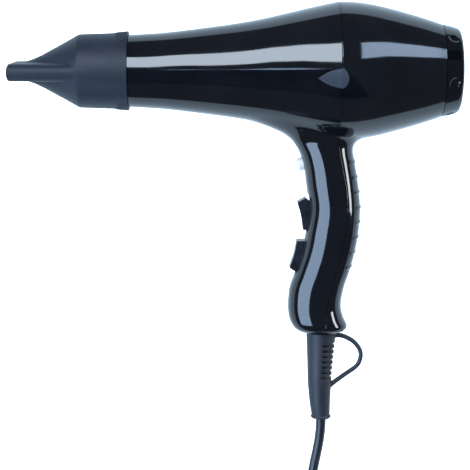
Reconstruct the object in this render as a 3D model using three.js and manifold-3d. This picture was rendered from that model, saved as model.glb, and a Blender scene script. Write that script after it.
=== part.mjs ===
// A salon hair dryer with a concentrator nozzle, lying on its side on a table, in millimetres.
//
// The dryer's own frame has the barrel axis along X with the nozzle towards -X, the handle
// towards -Y, and the side that faces up from the table towards +Z. X = 0 is the plane where the
// front and rear housings meet. The whole dryer is then rolled about X until the barrel and the
// end of the handle both touch the table, which is the plane Z = 0.

import * as THREE from 'three';
import Module from 'manifold-3d';
import { mergeVertices } from 'three/addons/utils/BufferGeometryUtils.js';

const wasm = await Module();
wasm.setup();

// ---------------------------------------------------------------- driving dimensions

const GAP = 0.3; // clearance between pieces that touch
const WALL = 2.4; // housing wall thickness

// Outer surface of the barrel as [x, radius], before and behind the seam
const BARREL_RADIUS = 47.5;
const BARREL_FRONT = [
  [-144, 24.8], [-120, 26.3], [-95, 29.2], [-72, 32.3],
  [-54, 35.4], [-36, 39.4], [-18, 43.6], [0, BARREL_RADIUS],
];
const REAR_X = 71; // rear rim of the rear housing
const BARREL_REAR = [
  [0, BARREL_RADIUS], [12, 47.0], [24, 45.3], [36, 42.5], [48, 39.2], [60, 35.6], [REAR_X, 31.9],
];
const BARREL_SIDES = 32;
const BORE_SIDES = 24; // for the hidden inner faces
const BADGE_DEPTH = 1.2; // recess for the badge

// The spigot that the nozzle pushes onto
const SPIGOT = { x0: -158, x1: -144, radius: 23.8, bore: 22.0 };

// Handle sections by height y: front and rear edge in x, and half the thickness along z
const HANDLE = [
  { y: -28, front: -66, rear: 18, half: 17.5 },
  { y: -36, front: -50, rear: 13.5, half: 18 },
  { y: -44, front: -35.6, rear: 11.4, half: 18 },
  { y: -54, front: -27.5, rear: 10.8, half: 18 },
  { y: -66, front: -23.4, rear: 12.8, half: 18 },
  { y: -80, front: -21.4, rear: 15.1, half: 18.2 },
  { y: -96, front: -19.4, rear: 16.5, half: 18.2 },
  { y: -112, front: -21.6, rear: 15.6, half: 18 },
  { y: -126, front: -24.2, rear: 13.3, half: 17.8 },
  { y: -140, front: -28.6, rear: 9.6, half: 17.5 },
  { y: -152, front: -32.7, rear: 5.7, half: 17.4 },
  { y: -164, front: -33.9, rear: 3.7, half: 17.5 },
  { y: -173, front: -33.1, rear: 5.4, half: 17.9 },
  { y: -179, front: -30.6, rear: 8.1, half: 17.8 },
  { y: -182.4, front: -27.0, rear: 6.4, half: 15 },
  { y: -184.3, front: -21.0, rear: 0.6, half: 10.6 },
];
const HANDLE_POWER = 2.3; // superellipse exponent of the handle's section
const HANDLE_SIDES = 18;
const HANDLE_FLOOR = { y: -181.6, x: -11 }; // middle of the inner face of the handle's end
const HANDLE_SCREW_Y = -152.5;

// Where the seam runs down the handle, as [x, y]
const SEAM = [
  [0, -47.5], [1, -52], [3.4, -66], [6.2, -80], [7, -94], [5.6, -110], [3, -125], [-0.6, -139],
  [-5, -154], [-7, -164], [-8, -176], [-8, -190],
];

// Grip ribs on the back of the handle
const RIB = { first: -62.2, pitch: 10.6, count: 8, thick: 1.3, proud: 0.6, halfWidth: 12.5 };

// Outline of the badge: a point at the front, corners and a shallow arc at the rear
const BADGE = { point: -15.9, corner: 54.6, arcX: -3.7, arcRadius: 8.1, y: -2.3 };

// Outside of the nozzle: a short collar that runs into a cone, with a flat duct through it
const NOZZLE_CONE = [
  [-144.3, 26], [-178, 24.8], [-180, 23.7], [-186, 20.2],
  [-196, 14.7], [-204, 10.5], [-211, 7.6], [-219, 5.4],
];
const NOZZLE_BORE = [
  [-160, 24.1], [-160, 22.6], [-176.5, 22.6], [-186, 17.2], [-196, 11.9], [-204, 7.9], [-213, 4.3],
];
const DUCT = { x0: -226, x1: -176, halfWidth: 23.5, halfHeight: 5.9, corner: 4.8, wall: 1.5 };
const COLLAR_PAD = { x0: -157, x1: -144.3, inner: 24.9, outer: 26.9, halfAngle: 36 };

const CAP_RING = [
  [66, 27], [66, 28.5], [71.3, 28.5], [71.3, 31.8], [76.5, 30.7], [81.5, 29.2],
  [83, 27.8], [83.5, 26.4], [83.5, 24.4], [82.3, 24.4], [82.3, 27],
];
const CAP_DIMPLE = { x: 76.4, capRadius: 30.7, radius: 4.3, depth: 1.7, count: 6, turn: 48 };

// Rocker and button places on the front of the handle. The pivot is in x and y, and lean turns
// the outward direction from -X towards -Y, in degrees. The rim is the top of a switch's collar.
const SPEED_SWITCH = { x: -17, y: -98.9, lean: -2, rest: 14, rim: 2 };
const HEAT_SWITCH = { x: -21.9, y: -130.2, lean: -15, rest: 0, rim: 3 };
const COOL_SHOT = { x: -24, y: -64.2, lean: 14.4 };
const ROCKER_PROFILE = [
  [-2.5, -4], [2.6, -11.8], [8.4, -10], [8.8, -9.2], [8.4, -4.5], [8.2, 0],
  [8.4, 4.5], [8.8, 9.2], [8.4, 10], [2.6, 11.8], [-2.5, 4],
];
const ROCKER_HALF_WIDTH = 5.4;
const BUTTON_PROFILE = [
  [-9, 0], [-9, 2], [-5.2, 2], [-5.2, 6.2], [-3.7, 6.2], [-3.7, 4.6],
  [2.1, 4.6], [3.5, 3.9], [4.3, 2.7], [4.6, 1.2], [4.6, 0],
];

const MOTOR = { x0: 12, x1: 42, radius: 16, wall: 1.4, shaft: 1.5, neck: 4.2 };
const FAN = { x0: 44.5, x1: 60, hub: 9, tip: 29.6, blades: 9, chord: 14, thick: 1.4, pitch: 40 };
const FAN_DUCT = { x0: 22, x1: 62, bore: 30.4, radius: 31.8, vanes: 7 };
const MICA_TUBE = { x0: -148, x1: -34, bore: 20.9, radius: 21.6 };
const HEATER = { x0: -140, x1: -40, radius: 14.6, coil: 16.4, wire: 0.8, turns: 5 };
const HOUSING_SCREW = { radius: 40.4, angles: [50, 130] };
const CLAMP_SCREW = { y: -171, sides: [-9.5, 9.5] };

// Routes of the three leads inside the handle
const LEAD_RADIUS = 1.1;
const LEAD_LIVE = [
  [-9, -160.4, 1.6], [-7, -156, 7], [-4, -149, 8.6], [1, -132, 8.8],
  [5, -114, 8], [4.6, -103, 5], [-1.2, -99, 3],
];
const LEAD_NEUTRAL = [
  [-11, -160.4, -1.6], [-7.6, -156, -7], [-4, -149, -8.6], [1, -132, -9], [6, -108, -9],
  [5.6, -78, -8], [2, -52, -6], [0, -34, -5], [0, -18, -4], [7.4, -11, -4],
];
const LEAD_HEATER = [
  [-6.4, -134.6, 2], [-1, -133, 2], [3, -122, 0], [8, -104, -2], [8, -84, 2],
  [2, -60, 3], [-4, -40, 3], [-20, -22, 4], [-36, -8, 5], [-47.6, -4.4, 4.4],
];

// Mains cord: 7 mm over the jacket and 2.7 m long, most of it wound into the coil
const CORD = 7;

// The rubber sleeve on the cord as [distance below the barrel axis, radius], with the shift of
// its middle line as [y, x, z]: it bows and its end lifts, so that it clears the table
const RELIEF = { x: -10, top: -184.7, end: -247, lipRadius: 7.2 };
const RELIEF_OUTLINE = [[184.7, 10.5], [205, 9.2], [221, 8.3], [236, 7.3], [243.6, 6.6]];
const RELIEF_BOW = [
  [-184, 0, 0], [-205, -0.6, 0.1], [-221, -1, 0.4], [-236, -0.6, 0.9], [-247.1, 0.2, 1.4],
];
const RELIEF_SLOT = { first: -191.9, pitch: 3.92, count: 7, width: 2, inner: 4.8 };
const HANG_LOOP = [
  [0.9, -187, 0], [4.4, -187.2, 0], [8.8, -188.9, 0], [12.5, -191.2, 0], [15.3, -194, 0],
  [17.5, -197.3, 0], [18.3, -200.8, 0], [17.9, -204.4, 0], [16.5, -208, 0], [14, -210.7, 0],
  [10.4, -213.3, 0], [6.1, -216.3, 0], [1.7, -219.6, 0], [-0.9, -221.6, 0],
];
// From the strain relief to the coil, in table coordinates: x, y from the barrel axis, z
const CORD_ROUTE = [
  [-9.7, -244.3, 7.3], [-9.9, -250, 6.2], [-10.5, -257, 5], [-11.6, -264, 4.1], [-13, -271, 3.65],
  [-14.5, -278, 3.6], [-15.7, -285, 3.6], [-16.5, -292, 3.6], [-16.9, -300, 3.6],
  [-17, -308, 3.6], [-17, -316, 3.6], [-17, -322, 3.6],
];
const COIL = { x: -67.5, y: -350, z0: 1.4, z1: 22.6, inner: 25.9, outer: 54.1 };
// The end of the cord rises from the top of the coil into the plug, from the coil's centre
const TAIL_ROUTE = [
  [26.6, -25.2, 26.6], [23, -28.6, 27.8], [18.4, -31.9, 29.3], [12.6, -34.6, 30.6], [6.4, -36, 31.3],
];
const PLUG = { x: 5.6, y: -36, z: 31.4 };

// ---------------------------------------------------------------- solids

// The signed volume of an indexed mesh, which is negative where its faces point inwards.
function signedVolume(positions, triangles) {
  const [a, b, c] = [new THREE.Vector3(), new THREE.Vector3(), new THREE.Vector3()];
  let total = 0;
  for (let i = 0; i < triangles.length; i += 3) {
    a.fromArray(positions, 3 * triangles[i]);
    b.fromArray(positions, 3 * triangles[i + 1]);
    c.fromArray(positions, 3 * triangles[i + 2]);
    total += a.dot(b.cross(c)) / 6;
  }
  return total;
}

// A closed three.js geometry as a manifold-3d solid with its faces pointing out.
function solid(geometry) {
  const bare = geometry.clone();
  bare.deleteAttribute('normal');
  bare.deleteAttribute('uv');
  const welded = mergeVertices(bare, 1e-4);
  const index = welded.index.array;
  const kept = [];
  for (let i = 0; i < index.length; i += 3) {
    const [p, q, r] = [index[i], index[i + 1], index[i + 2]];
    if (p !== q && q !== r && r !== p) kept.push(p, q, r);
  }
  const positions = new Float32Array(welded.attributes.position.array);
  if (signedVolume(positions, kept) < 0) kept.reverse();
  return new wasm.Manifold(
    new wasm.Mesh({ numProp: 3, vertProperties: positions, triVerts: new Uint32Array(kept) }),
  );
}

// A manifold-3d solid back as a three.js geometry.
function geometryOf(body) {
  const { vertProperties, triVerts } = body.getMesh();
  const geometry = new THREE.BufferGeometry();
  geometry.setAttribute('position', new THREE.BufferAttribute(new Float32Array(vertProperties), 3));
  geometry.setIndex(new THREE.BufferAttribute(new Uint32Array(triVerts), 1));
  geometry.computeVertexNormals();
  return geometry;
}

const join = (bodies) => bodies.reduce((whole, body) => whole.add(body));
const cut = (body, tools) => tools.reduce((rest, tool) => rest.subtract(tool), body);

// A profile of [x, radius] points turned about the X axis.
function turned(profile, sides = 32) {
  const points = profile.map(([x, r]) => new THREE.Vector2(r, x));
  const open = profile[0][1] > 0 || profile.at(-1)[1] > 0;
  if (open) points.push(points[0].clone());
  return solid(new THREE.LatheGeometry(points, sides).rotateZ(-Math.PI / 2));
}

const tube = (x0, x1, bore, radius, sides) =>
  turned([[x0, bore], [x0, radius], [x1, radius], [x1, bore]], sides);
const disc = (x0, x1, radius, sides) => turned([[x0, 0], [x0, radius], [x1, radius], [x1, 0]], sides);

// A box between two corners.
function block(x0, x1, y0, y1, z0, z1) {
  const geometry = new THREE.BoxGeometry(x1 - x0, y1 - y0, z1 - z0);
  return solid(geometry.translate((x0 + x1) / 2, (y0 + y1) / 2, (z0 + z1) / 2));
}

// A round rod between two points.
function rod(from, to, radius, sides = 16) {
  const [a, b] = [new THREE.Vector3(...from), new THREE.Vector3(...to)];
  const geometry = new THREE.CylinderGeometry(radius, radius, a.distanceTo(b), sides);
  const turn = new THREE.Quaternion().setFromUnitVectors(
    new THREE.Vector3(0, 1, 0),
    b.clone().sub(a).normalize(),
  );
  const middle = a.add(b).multiplyScalar(0.5);
  return solid(geometry.applyQuaternion(turn).translate(middle.x, middle.y, middle.z));
}

// A shape in x and y made thick along z, from z0 to z1.
function plate(shape, z0, z1, curveSegments = 4) {
  const geometry = new THREE.ExtrudeGeometry(shape, { depth: z1 - z0, bevelEnabled: false, curveSegments });
  return solid(geometry.translate(0, 0, z0));
}

const polygon = (points) => new THREE.Shape(points.map(([x, y]) => new THREE.Vector2(x, y)));

// A shape in y and z made thick along x, from x0 to x1.
function plateAlongX(shape, x0, x1, curveSegments = 4) {
  const geometry = new THREE.ExtrudeGeometry(shape, { depth: x1 - x0, bevelEnabled: false, curveSegments });
  const turn = new THREE.Matrix4().makeBasis(
    new THREE.Vector3(0, 1, 0),
    new THREE.Vector3(0, 0, 1),
    new THREE.Vector3(1, 0, 0),
  );
  return solid(geometry.applyMatrix4(turn).translate(x0, 0, 0));
}

// A rectangle with round corners, centred on the origin.
function roundedRectangle(halfWidth, halfHeight, corner) {
  const [w, h, c] = [halfWidth - corner, halfHeight - corner, corner];
  const shape = new THREE.Shape();
  shape.absarc(w, h, c, 0, Math.PI / 2);
  shape.absarc(-w, h, c, Math.PI / 2, Math.PI);
  shape.absarc(-w, -h, c, Math.PI, 1.5 * Math.PI);
  shape.absarc(w, -h, c, 1.5 * Math.PI, 2 * Math.PI);
  return shape;
}

// Part of a ring between two radii and two angles in degrees.
function sector(inner, outer, from, to) {
  const [a, b] = [THREE.MathUtils.degToRad(from), THREE.MathUtils.degToRad(to)];
  const shape = new THREE.Shape();
  shape.absarc(0, 0, outer, a, b, false);
  shape.absarc(0, 0, inner, b, a, true);
  return shape;
}

// A round section swept along a smooth curve through the points.
function swept(points, radius, sides, steps) {
  const curve = new THREE.CatmullRomCurve3(points.map((p) => new THREE.Vector3(...p)));
  const ring = [];
  for (let i = 0; i < sides; i += 1) {
    const a = (2 * Math.PI * i) / sides;
    ring.push([radius * Math.cos(a), radius * Math.sin(a)]);
  }
  const settings = { steps, extrudePath: curve, bevelEnabled: false };
  return solid(new THREE.ExtrudeGeometry(polygon(ring), settings));
}

// A closed skin over rings of equally many points, with a flat end at each end.
function lofted(rings) {
  const count = rings[0].length;
  const positions = rings.flat(2);
  const index = [];
  for (let r = 0; r + 1 < rings.length; r += 1) {
    for (let i = 0; i < count; i += 1) {
      const [a, b] = [r * count + i, r * count + ((i + 1) % count)];
      index.push(a, b, b + count, a, b + count, a + count);
    }
  }
  const last = (rings.length - 1) * count;
  for (let i = 1; i + 1 < count; i += 1) index.push(0, i + 1, i, last, last + i, last + i + 1);
  const geometry = new THREE.BufferGeometry();
  geometry.setAttribute('position', new THREE.BufferAttribute(new Float32Array(positions), 3));
  geometry.setIndex(index);
  return solid(geometry);
}

// ---------------------------------------------------------------- materials

function finish(color, roughness, metalness = 0) {
  return new THREE.MeshStandardMaterial({ color, roughness, metalness });
}

const glossBlack = finish(0x07080b, 0.12);
const matteBlack = finish(0x15181f, 0.55);
const darkRubber = finish(0x24262b, 0.7);
const inlayGrey = finish(0x4d5967, 0.35);
const clearWhite = finish(0xe9edf2, 0.35);
const steel = finish(0xb4b8bd, 0.35, 1);
const brass = finish(0xc7a252, 0.35, 1);
const copper = finish(0xb87346, 0.4, 1);
const mica = finish(0xc9bfa6, 0.6);
const greyPlastic = finish(0x3a3d42, 0.5);
const magnetBlack = finish(0x2b2b2e, 0.8);
const heatWire = finish(0x8c857c, 0.45, 1);
const leadBlue = finish(0x2f62a8, 0.5);
const leadBrown = finish(0x6a4327, 0.5);
const leadWhite = finish(0xd9d6cf, 0.5);

const dryer = new THREE.Group();

// Adds a body to the dryer as a named mesh.
function place(name, body, material, group = dryer) {
  const mesh = new THREE.Mesh(geometryOf(body), material);
  mesh.name = name;
  group.add(mesh);
}

// ---------------------------------------------------------------- housings

// Points along a smooth curve through the profile.
function smoothProfile(points, steps) {
  const curve = new THREE.SplineCurve(points.map(([x, r]) => new THREE.Vector2(x, r)));
  return curve.getPoints(steps).map((p) => [p.x, p.y]);
}

// The barrel's surface moved in or out by an offset, as profile points.
function barrelProfile(offset, frontSteps = 8, rearSteps = 6) {
  const rear = smoothProfile(BARREL_REAR, rearSteps).slice(1);
  return [...smoothProfile(BARREL_FRONT, frontSteps), ...rear].map(([x, r]) => [x, r + offset]);
}

// One section of the handle at the station t from 0 to 1, moved in by an inset.
function handleSection(t, inset, sides) {
  const edge = (key) => new THREE.SplineCurve(HANDLE.map((s) => new THREE.Vector2(s[key], s.y)));
  const [front, rear, half] = [edge('front'), edge('rear'), edge('half')];
  const [f, r] = [front.getPoint(t), rear.getPoint(t)];
  const xFront = f.x + inset / Math.max(0.35, Math.abs(front.getTangent(t).y));
  const xRear = r.x - inset / Math.max(0.35, Math.abs(rear.getTangent(t).y));
  const [middle, halfWidth] = [(xFront + xRear) / 2, (xRear - xFront) / 2];
  const halfThick = half.getPoint(t).x - inset;
  const ring = [];
  for (let i = 0; i < sides; i += 1) {
    const a = (2 * Math.PI * i) / sides;
    const [c, s] = [Math.cos(a), Math.sin(a)];
    ring.push([
      middle + halfWidth * Math.sign(c) * Math.abs(c) ** (2 / HANDLE_POWER),
      f.y,
      halfThick * Math.sign(s) * Math.abs(s) ** (2 / HANDLE_POWER),
    ]);
  }
  return ring;
}

function handleOutside() {
  const rings = [];
  for (let i = 0; i <= 17; i += 1) rings.push(handleSection(i / 17, 0, HANDLE_SIDES));
  return lofted(rings);
}

function handleHollow() {
  const lastStation = (HANDLE.length - 3) / (HANDLE.length - 1);
  const rings = [];
  for (let i = 0; i <= 8; i += 1) rings.push(handleSection((lastStation * i) / 8, WALL, 12));
  const { x: middle, y: floor } = HANDLE_FLOOR;
  const end = rings.at(-1).map(([x, , z]) => [middle + 0.88 * (x - middle), floor, 0.88 * z]);
  return lofted([...rings, end]);
}

// A raised bar across the back of the handle: a slice of the handle, grown outwards.
function gripRib(y) {
  const stations = HANDLE.map((s) => s.y);
  const after = stations.findIndex((station) => station < y);
  const part = (stations[after - 1] - y) / (stations[after - 1] - stations[after]);
  const t = (after - 1 + part) / (HANDLE.length - 1);
  const outer = handleSection(t, -RIB.proud, HANDLE_SIDES);
  const root = handleSection(t, RIB.proud, HANDLE_SIDES);
  const level = (ring, height) => ring.map(([x, , z]) => [x, height, z]);
  const slice = lofted([
    level(root, y + RIB.thick),
    level(outer, y + RIB.thick / 2),
    level(outer, y - RIB.thick / 2),
    level(root, y - RIB.thick),
  ]);
  return slice.intersect(block(3, 30, y - 6, y + 6, -RIB.halfWidth, RIB.halfWidth));
}

// Everything in front of the seam, or behind it, with half of the gap taken off.
function seamRegion(side) {
  const shift = (side * GAP) / 2;
  const far = side * 400;
  const line = SEAM.map(([x, y]) => [x + shift, y]);
  return plate(polygon([[far, 90], [shift, 90], ...line, [far, -190]]), -90, 90);
}

// The frame of a switch: +X points out of the handle and +Y down along it.
function switchFrame({ x, y, lean }) {
  const turn = new THREE.Matrix4().makeRotationZ(THREE.MathUtils.degToRad(180 + lean));
  return new THREE.Matrix4().makeTranslation(x, y, 0).multiply(turn);
}

// A body made at the origin and moved into a switch's frame.
const inFrame = (body, frame) => solid(geometryOf(body).applyMatrix4(frame));

function housingShell() {
  const barrel = turned([[-144, 0], ...barrelProfile(0), [REAR_X, 0]], BARREL_SIDES);
  const spigot = disc(SPIGOT.x0, SPIGOT.x1 + 2, SPIGOT.radius, BARREL_SIDES);
  const outside = join([barrel, spigot, handleOutside()]);
  const inner = barrelProfile(-WALL, 5, 4).filter(([x]) => x > -138);
  const front = [[-170, 0], [-170, SPIGOT.bore], [-142, SPIGOT.bore]];
  const rear = [[90, inner.at(-1)[1]], [90, 0]];
  const hollow = turned([...front, ...inner, ...rear], BORE_SIDES).add(handleHollow());
  const shell = outside.subtract(hollow);
  return join([shell, ...housingBosses()]).subtract(shieldLayer(-BADGE_DEPTH, 2, GAP));
}

// Screw bosses inside the shell, each running through the seam.
function housingBosses() {
  return [...barrelBores(-14, 12, 4.6), handleBore(-31, 3.4, 4.2), ...clampRods(-30.5, -15, 3)];
}

// A rod along the handle's screw.
const handleBore = (x0, x1, radius) => rod([x0, HANDLE_SCREW_Y, 0], [x1, HANDLE_SCREW_Y, 0], radius, 14);

// A rod along each of the clamp's two screws.
function clampRods(x0, x1, radius) {
  const { y, sides } = CLAMP_SCREW;
  return sides.map((z) => rod([x0, y, z], [x1, y, z], radius, 12));
}

// A rod along each screw of the barrel.
function barrelBores(x0, x1, radius) {
  return HOUSING_SCREW.angles.map((angle) => {
    const [y, z] = screwPlace(angle);
    return rod([x0, y, z], [x1, y, z], radius, 10);
  });
}

// The round hole in the end of the handle for the strain relief.
const reliefHole = () => rod([RELIEF.x, -175, 0], [RELIEF.x, -195, 0], 9, 24);

function screwPlace(angle) {
  const a = THREE.MathUtils.degToRad(angle);
  return [HOUSING_SCREW.radius * Math.sin(a), HOUSING_SCREW.radius * Math.cos(a)];
}

function switchSlot(place) {
  return inFrame(block(-8, 20, -13.6, 13.6, -7.2, 7.2), switchFrame(place));
}

function frontHousing(shell) {
  const buttonHole = inFrame(rod([-8, 0, 0], [12, 0, 0], 5, 20), switchFrame(COOL_SHOT));
  const holes = [switchSlot(SPEED_SWITCH), switchSlot(HEAT_SWITCH), buttonHole, reliefHole()];
  const bores = [handleBore(-16, 20, 1.7), ...clampRods(-27, -8, 1.7), ...barrelBores(-11, 20, 1.7)];
  return cut(shell.intersect(seamRegion(-1)), [...holes, ...bores]);
}

function rearHousing(shell) {
  const ribs = [];
  for (let i = 0; i < RIB.count; i += 1) ribs.push(gripRib(RIB.first - i * RIB.pitch));
  const grip = join([shell, ...ribs]).subtract(handleHollow());
  const half = join([shell, grip.intersect(block(3, 40, -150, -52, -20, 20))]).intersect(seamRegion(1));
  const bores = [handleBore(0.2, 20, 3.4), handleBore(-16, 20, 1.8), ...barrelBores(-5, 20, 1.8)];
  const latch = block(37, 48, -44, -39.6, -5, 5);
  return cut(half, [reliefHole(), latch, ...bores]);
}

// A shield outline in x and y, grown by a margin.
function shieldShape(margin) {
  const { point, corner, arcX, arcRadius, y } = BADGE;
  const turn = THREE.MathUtils.degToRad(corner);
  const round = arcRadius + margin;
  const [cornerX, cornerY] = [arcX + round * Math.cos(turn), round * Math.sin(turn)];
  const shape = new THREE.Shape();
  shape.moveTo(point - margin, y);
  shape.quadraticCurveTo(-8, y + cornerY - 0.4, cornerX, y + cornerY);
  shape.absarc(arcX, y, round, turn, -turn, true);
  shape.quadraticCurveTo(-8, y - cornerY + 0.4, point - margin, y);
  return shape;
}

// A layer of the barrel between two offsets from its surface, inside the shield outline.
function shieldLayer(inner, outer, margin) {
  const skin = (offset) => [[-30, 0], ...barrelProfile(offset).filter(([x]) => Math.abs(x) < 30), [30, 0]];
  const layer = turned(skin(outer), BARREL_SIDES).subtract(turned(skin(inner), BARREL_SIDES));
  return layer.intersect(plate(shieldShape(margin), 30, 60, 3));
}

function addHousings() {
  const shell = housingShell();
  place('front_housing', frontHousing(shell), glossBlack);
  place('rear_housing', rearHousing(shell), glossBlack);
  place('badge', shieldLayer(-BADGE_DEPTH + GAP, 0, 0), inlayGrey);
}

// ---------------------------------------------------------------- nozzle

function nozzle() {
  const cone = turned([[NOZZLE_CONE[0][0], 0], ...NOZZLE_CONE, [NOZZLE_CONE.at(-1)[0], 0]], BARREL_SIDES);
  const { x0, x1, halfWidth, halfHeight, corner, wall } = DUCT;
  const duct = plateAlongX(roundedRectangle(halfHeight, halfWidth, corner), x0, x1, 2);
  const pads = [90, 270].map((angle) => collarPad(angle));
  const bore = turned(
    [[-140, 0], [-140, 24.1], ...NOZZLE_BORE, [NOZZLE_BORE.at(-1)[0], 0]],
    BORE_SIDES + 8,
  );
  const passage = plateAlongX(
    roundedRectangle(halfHeight - wall, halfWidth - wall, corner - wall),
    x0 - 2,
    x1 + 4,
    2,
  );
  const groove = tube(-151, -149.4, 23, 25, BARREL_SIDES);
  return cut(join([cone, duct, ...pads]), [bore, passage, groove]);
}

// A raised pad on the collar, centred on an angle measured from +Z towards +Y.
function collarPad(angle) {
  const { x0, x1, inner, outer, halfAngle } = COLLAR_PAD;
  const middle = 90 - angle;
  return plateAlongX(sector(inner, outer, middle - halfAngle, middle + halfAngle), x0, x1, 4);
}

// A split spring ring in the collar's groove, which grips the spigot.
const nozzleClip = () => plateAlongX(sector(24.1, 24.7, 12, 348), -150.7, -149.7, 12);

// A round grille: rings of arc slots between spokes.
function grille(x0, x1, radius, slots, spokes, spokeAngle) {
  const tools = [];
  const share = 360 / spokes;
  for (const [inner, outer] of slots) {
    for (let i = 0; i < spokes; i += 1) {
      const shape = sector(inner, outer, share * i + spokeAngle, share * (i + 1) - spokeAngle);
      tools.push(plateAlongX(shape, x0 - 1, x1 + 1, 2));
    }
  }
  return cut(disc(x0, x1, radius, 32), tools);
}

function addNozzle() {
  place('nozzle', nozzle(), matteBlack);
  place('nozzle_clip', nozzleClip(), steel);
  place('outlet_grille', grille(-156, -154, 21.7, [[5, 11.5], [13.2, 20]], 4, 5), steel);
}

// ---------------------------------------------------------------- rear cap

function filterCap() {
  const dimples = [];
  const { x, capRadius, radius, depth, count, turn } = CAP_DIMPLE;
  const ball = (radius * radius + depth * depth) / (2 * depth);
  for (let i = 0; i < count; i += 1) {
    const a = THREE.MathUtils.degToRad(turn + (360 / count) * i);
    const lift = capRadius - depth + ball;
    const geometry = new THREE.SphereGeometry(ball, 18, 12);
    dimples.push(solid(geometry.translate(x + 0.24 * ball, lift * Math.sin(a), lift * Math.cos(a))));
  }
  return cut(turned(CAP_RING, BARREL_SIDES), dimples);
}

function addRearCap() {
  place('filter_cap', filterCap(), glossBlack);
  place('rear_grille', grille(80.4, 82, 26.7, [[7, 14.6], [16.4, 24.4]], 6, 4), greyPlastic);
  place('filter_mesh', disc(77, 77.8, 26.6, 36), steel);
}

// ---------------------------------------------------------------- motor and fan

function motorCan() {
  const { x0, x1, radius, wall, neck } = MOTOR;
  const outside = [[x0, radius - wall], [x0, radius], [x1, radius]];
  const inside = [[x1, neck], [x1 - wall, neck], [x1 - wall, radius - wall]];
  return turned([...outside, ...inside], 32);
}

function magnet(angle) {
  return plateAlongX(sector(11.8, 14.3, angle - 62, angle + 62), 17, 37, 4);
}

function armature() {
  const slots = [];
  for (let i = 0; i < 5; i += 1) {
    const geometry = new THREE.BoxGeometry(24, 6, 2.4);
    geometry.translate(26.5, 8.6, 0);
    slots.push(solid(geometry.rotateX((2 * Math.PI * i) / 5)));
  }
  return cut(tube(18.5, 35, MOTOR.shaft + GAP, 11.2, 30), slots);
}

function fan() {
  const { x0, hub, tip, blades, chord, thick, pitch } = FAN;
  const bore = MOTOR.shaft + GAP;
  const core = turned([[x0, bore], [x0, hub], [56, hub], [59, 6.5], [60, 3.4], [60, bore]], 27);
  const parts = [core];
  for (let i = 0; i < blades; i += 1) {
    const geometry = new THREE.BoxGeometry(chord, tip - hub + 1.5, thick);
    geometry.rotateY(THREE.MathUtils.degToRad(pitch));
    geometry.translate(51.4, (tip + hub - 1.5) / 2, 0);
    parts.push(solid(geometry.rotateX((2 * Math.PI * i) / blades)));
  }
  return join(parts).intersect(disc(x0 - 1, 61, tip, 36));
}

// The moulding that centres the motor: an outer duct, stator vanes and a cup round the motor.
function fanDuct() {
  const { x0, x1, bore, radius, vanes } = FAN_DUCT;
  const cup = tube(18, 40, MOTOR.radius + 0.4, MOTOR.radius + 1.8, 28);
  const parts = [tube(x0, x1, bore, radius, 36), cup];
  for (let i = 0; i < vanes; i += 1) {
    const geometry = new THREE.BoxGeometry(14, 14, 1.4);
    geometry.rotateY(THREE.MathUtils.degToRad(-20));
    geometry.translate(31, 24, 0);
    parts.push(solid(geometry.rotateX((2 * Math.PI * i) / vanes)));
  }
  return join(parts);
}

function addMotor() {
  const { shaft } = MOTOR;
  place('fan_duct', fanDuct(), greyPlastic);
  place('motor_can', motorCan(), steel);
  place('motor_end_bell', tube(8.5, 11.7, MOTOR.neck, MOTOR.radius, 32), greyPlastic);
  place('magnet_left', magnet(90), magnetBlack);
  place('magnet_right', magnet(270), magnetBlack);
  place('bearing_front', tube(8.8, 11.4, shaft + GAP, 3.9, 20), brass);
  place('bearing_rear', tube(39.6, 42.4, shaft + GAP, 3.9, 20), brass);
  place('motor_shaft', disc(6.5, 59, shaft, 16), steel);
  place('armature', armature(), copper);
  place('commutator', tube(13, 17.6, shaft + GAP, 4.5, 20), copper);
  place('brush_upper', block(13.6, 16.6, 4.9, 9.4, -1.6, 1.6), magnetBlack);
  place('brush_lower', block(13.6, 16.6, -9.4, -4.9, -1.6, 1.6), magnetBlack);
  place('fan', fan(), greyPlastic);
}

// ---------------------------------------------------------------- heater

function heaterFrame() {
  const { x0, x1, radius } = HEATER;
  return block(x0, x1, -radius, radius, -0.4, 0.4).add(block(x0, x1, -0.4, 0.4, -radius, radius));
}

function heatingCoil(x0, x1) {
  const { coil, wire, turns } = HEATER;
  const points = [];
  const steps = turns * 8;
  for (let i = 0; i <= steps; i += 1) {
    const a = (2 * Math.PI * turns * i) / steps;
    points.push([x0 + ((x1 - x0) * i) / steps, coil * Math.cos(a), coil * Math.sin(a)]);
  }
  return swept(points, wire, 4, steps);
}

function addHeater() {
  const { x0, x1, bore, radius } = MICA_TUBE;
  place('mica_tube', tube(x0, x1, bore, radius, 36), mica);
  place('heater_frame', heaterFrame(), mica);
  place('heating_coil_front', heatingCoil(-134, -94), heatWire);
  place('heating_coil_rear', heatingCoil(-86, -46), heatWire);
  place('thermostat', block(-62, -48, -8, -0.7, 0.7, 8), steel);
  place('thermal_fuse', rod([-84, 3, -3], [-70, 3, -3], 2.1, 12), steel);
}

// ---------------------------------------------------------------- switches

function rocker(place) {
  const frame = switchFrame(place);
  const tilt = new THREE.Matrix4().makeRotationZ(THREE.MathUtils.degToRad(place.rest));
  const body = plate(polygon(ROCKER_PROFILE), -ROCKER_HALF_WIDTH, ROCKER_HALF_WIDTH);
  return inFrame(body, frame.multiply(tilt));
}

// The switch behind a rocker, with the collar that lines the slot in the handle.
function switchBody(place) {
  const box = block(-15, -2.4, -12.9, 12.9, -8.5, 8.5);
  const collar = block(-3, place.rim, -13.3, 13.3, -6.9, 6.9);
  const pocket = block(-4.4, 20, -12.5, 12.5, -5.9, 5.9);
  return inFrame(box.add(collar).subtract(pocket), switchFrame(place));
}

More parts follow.
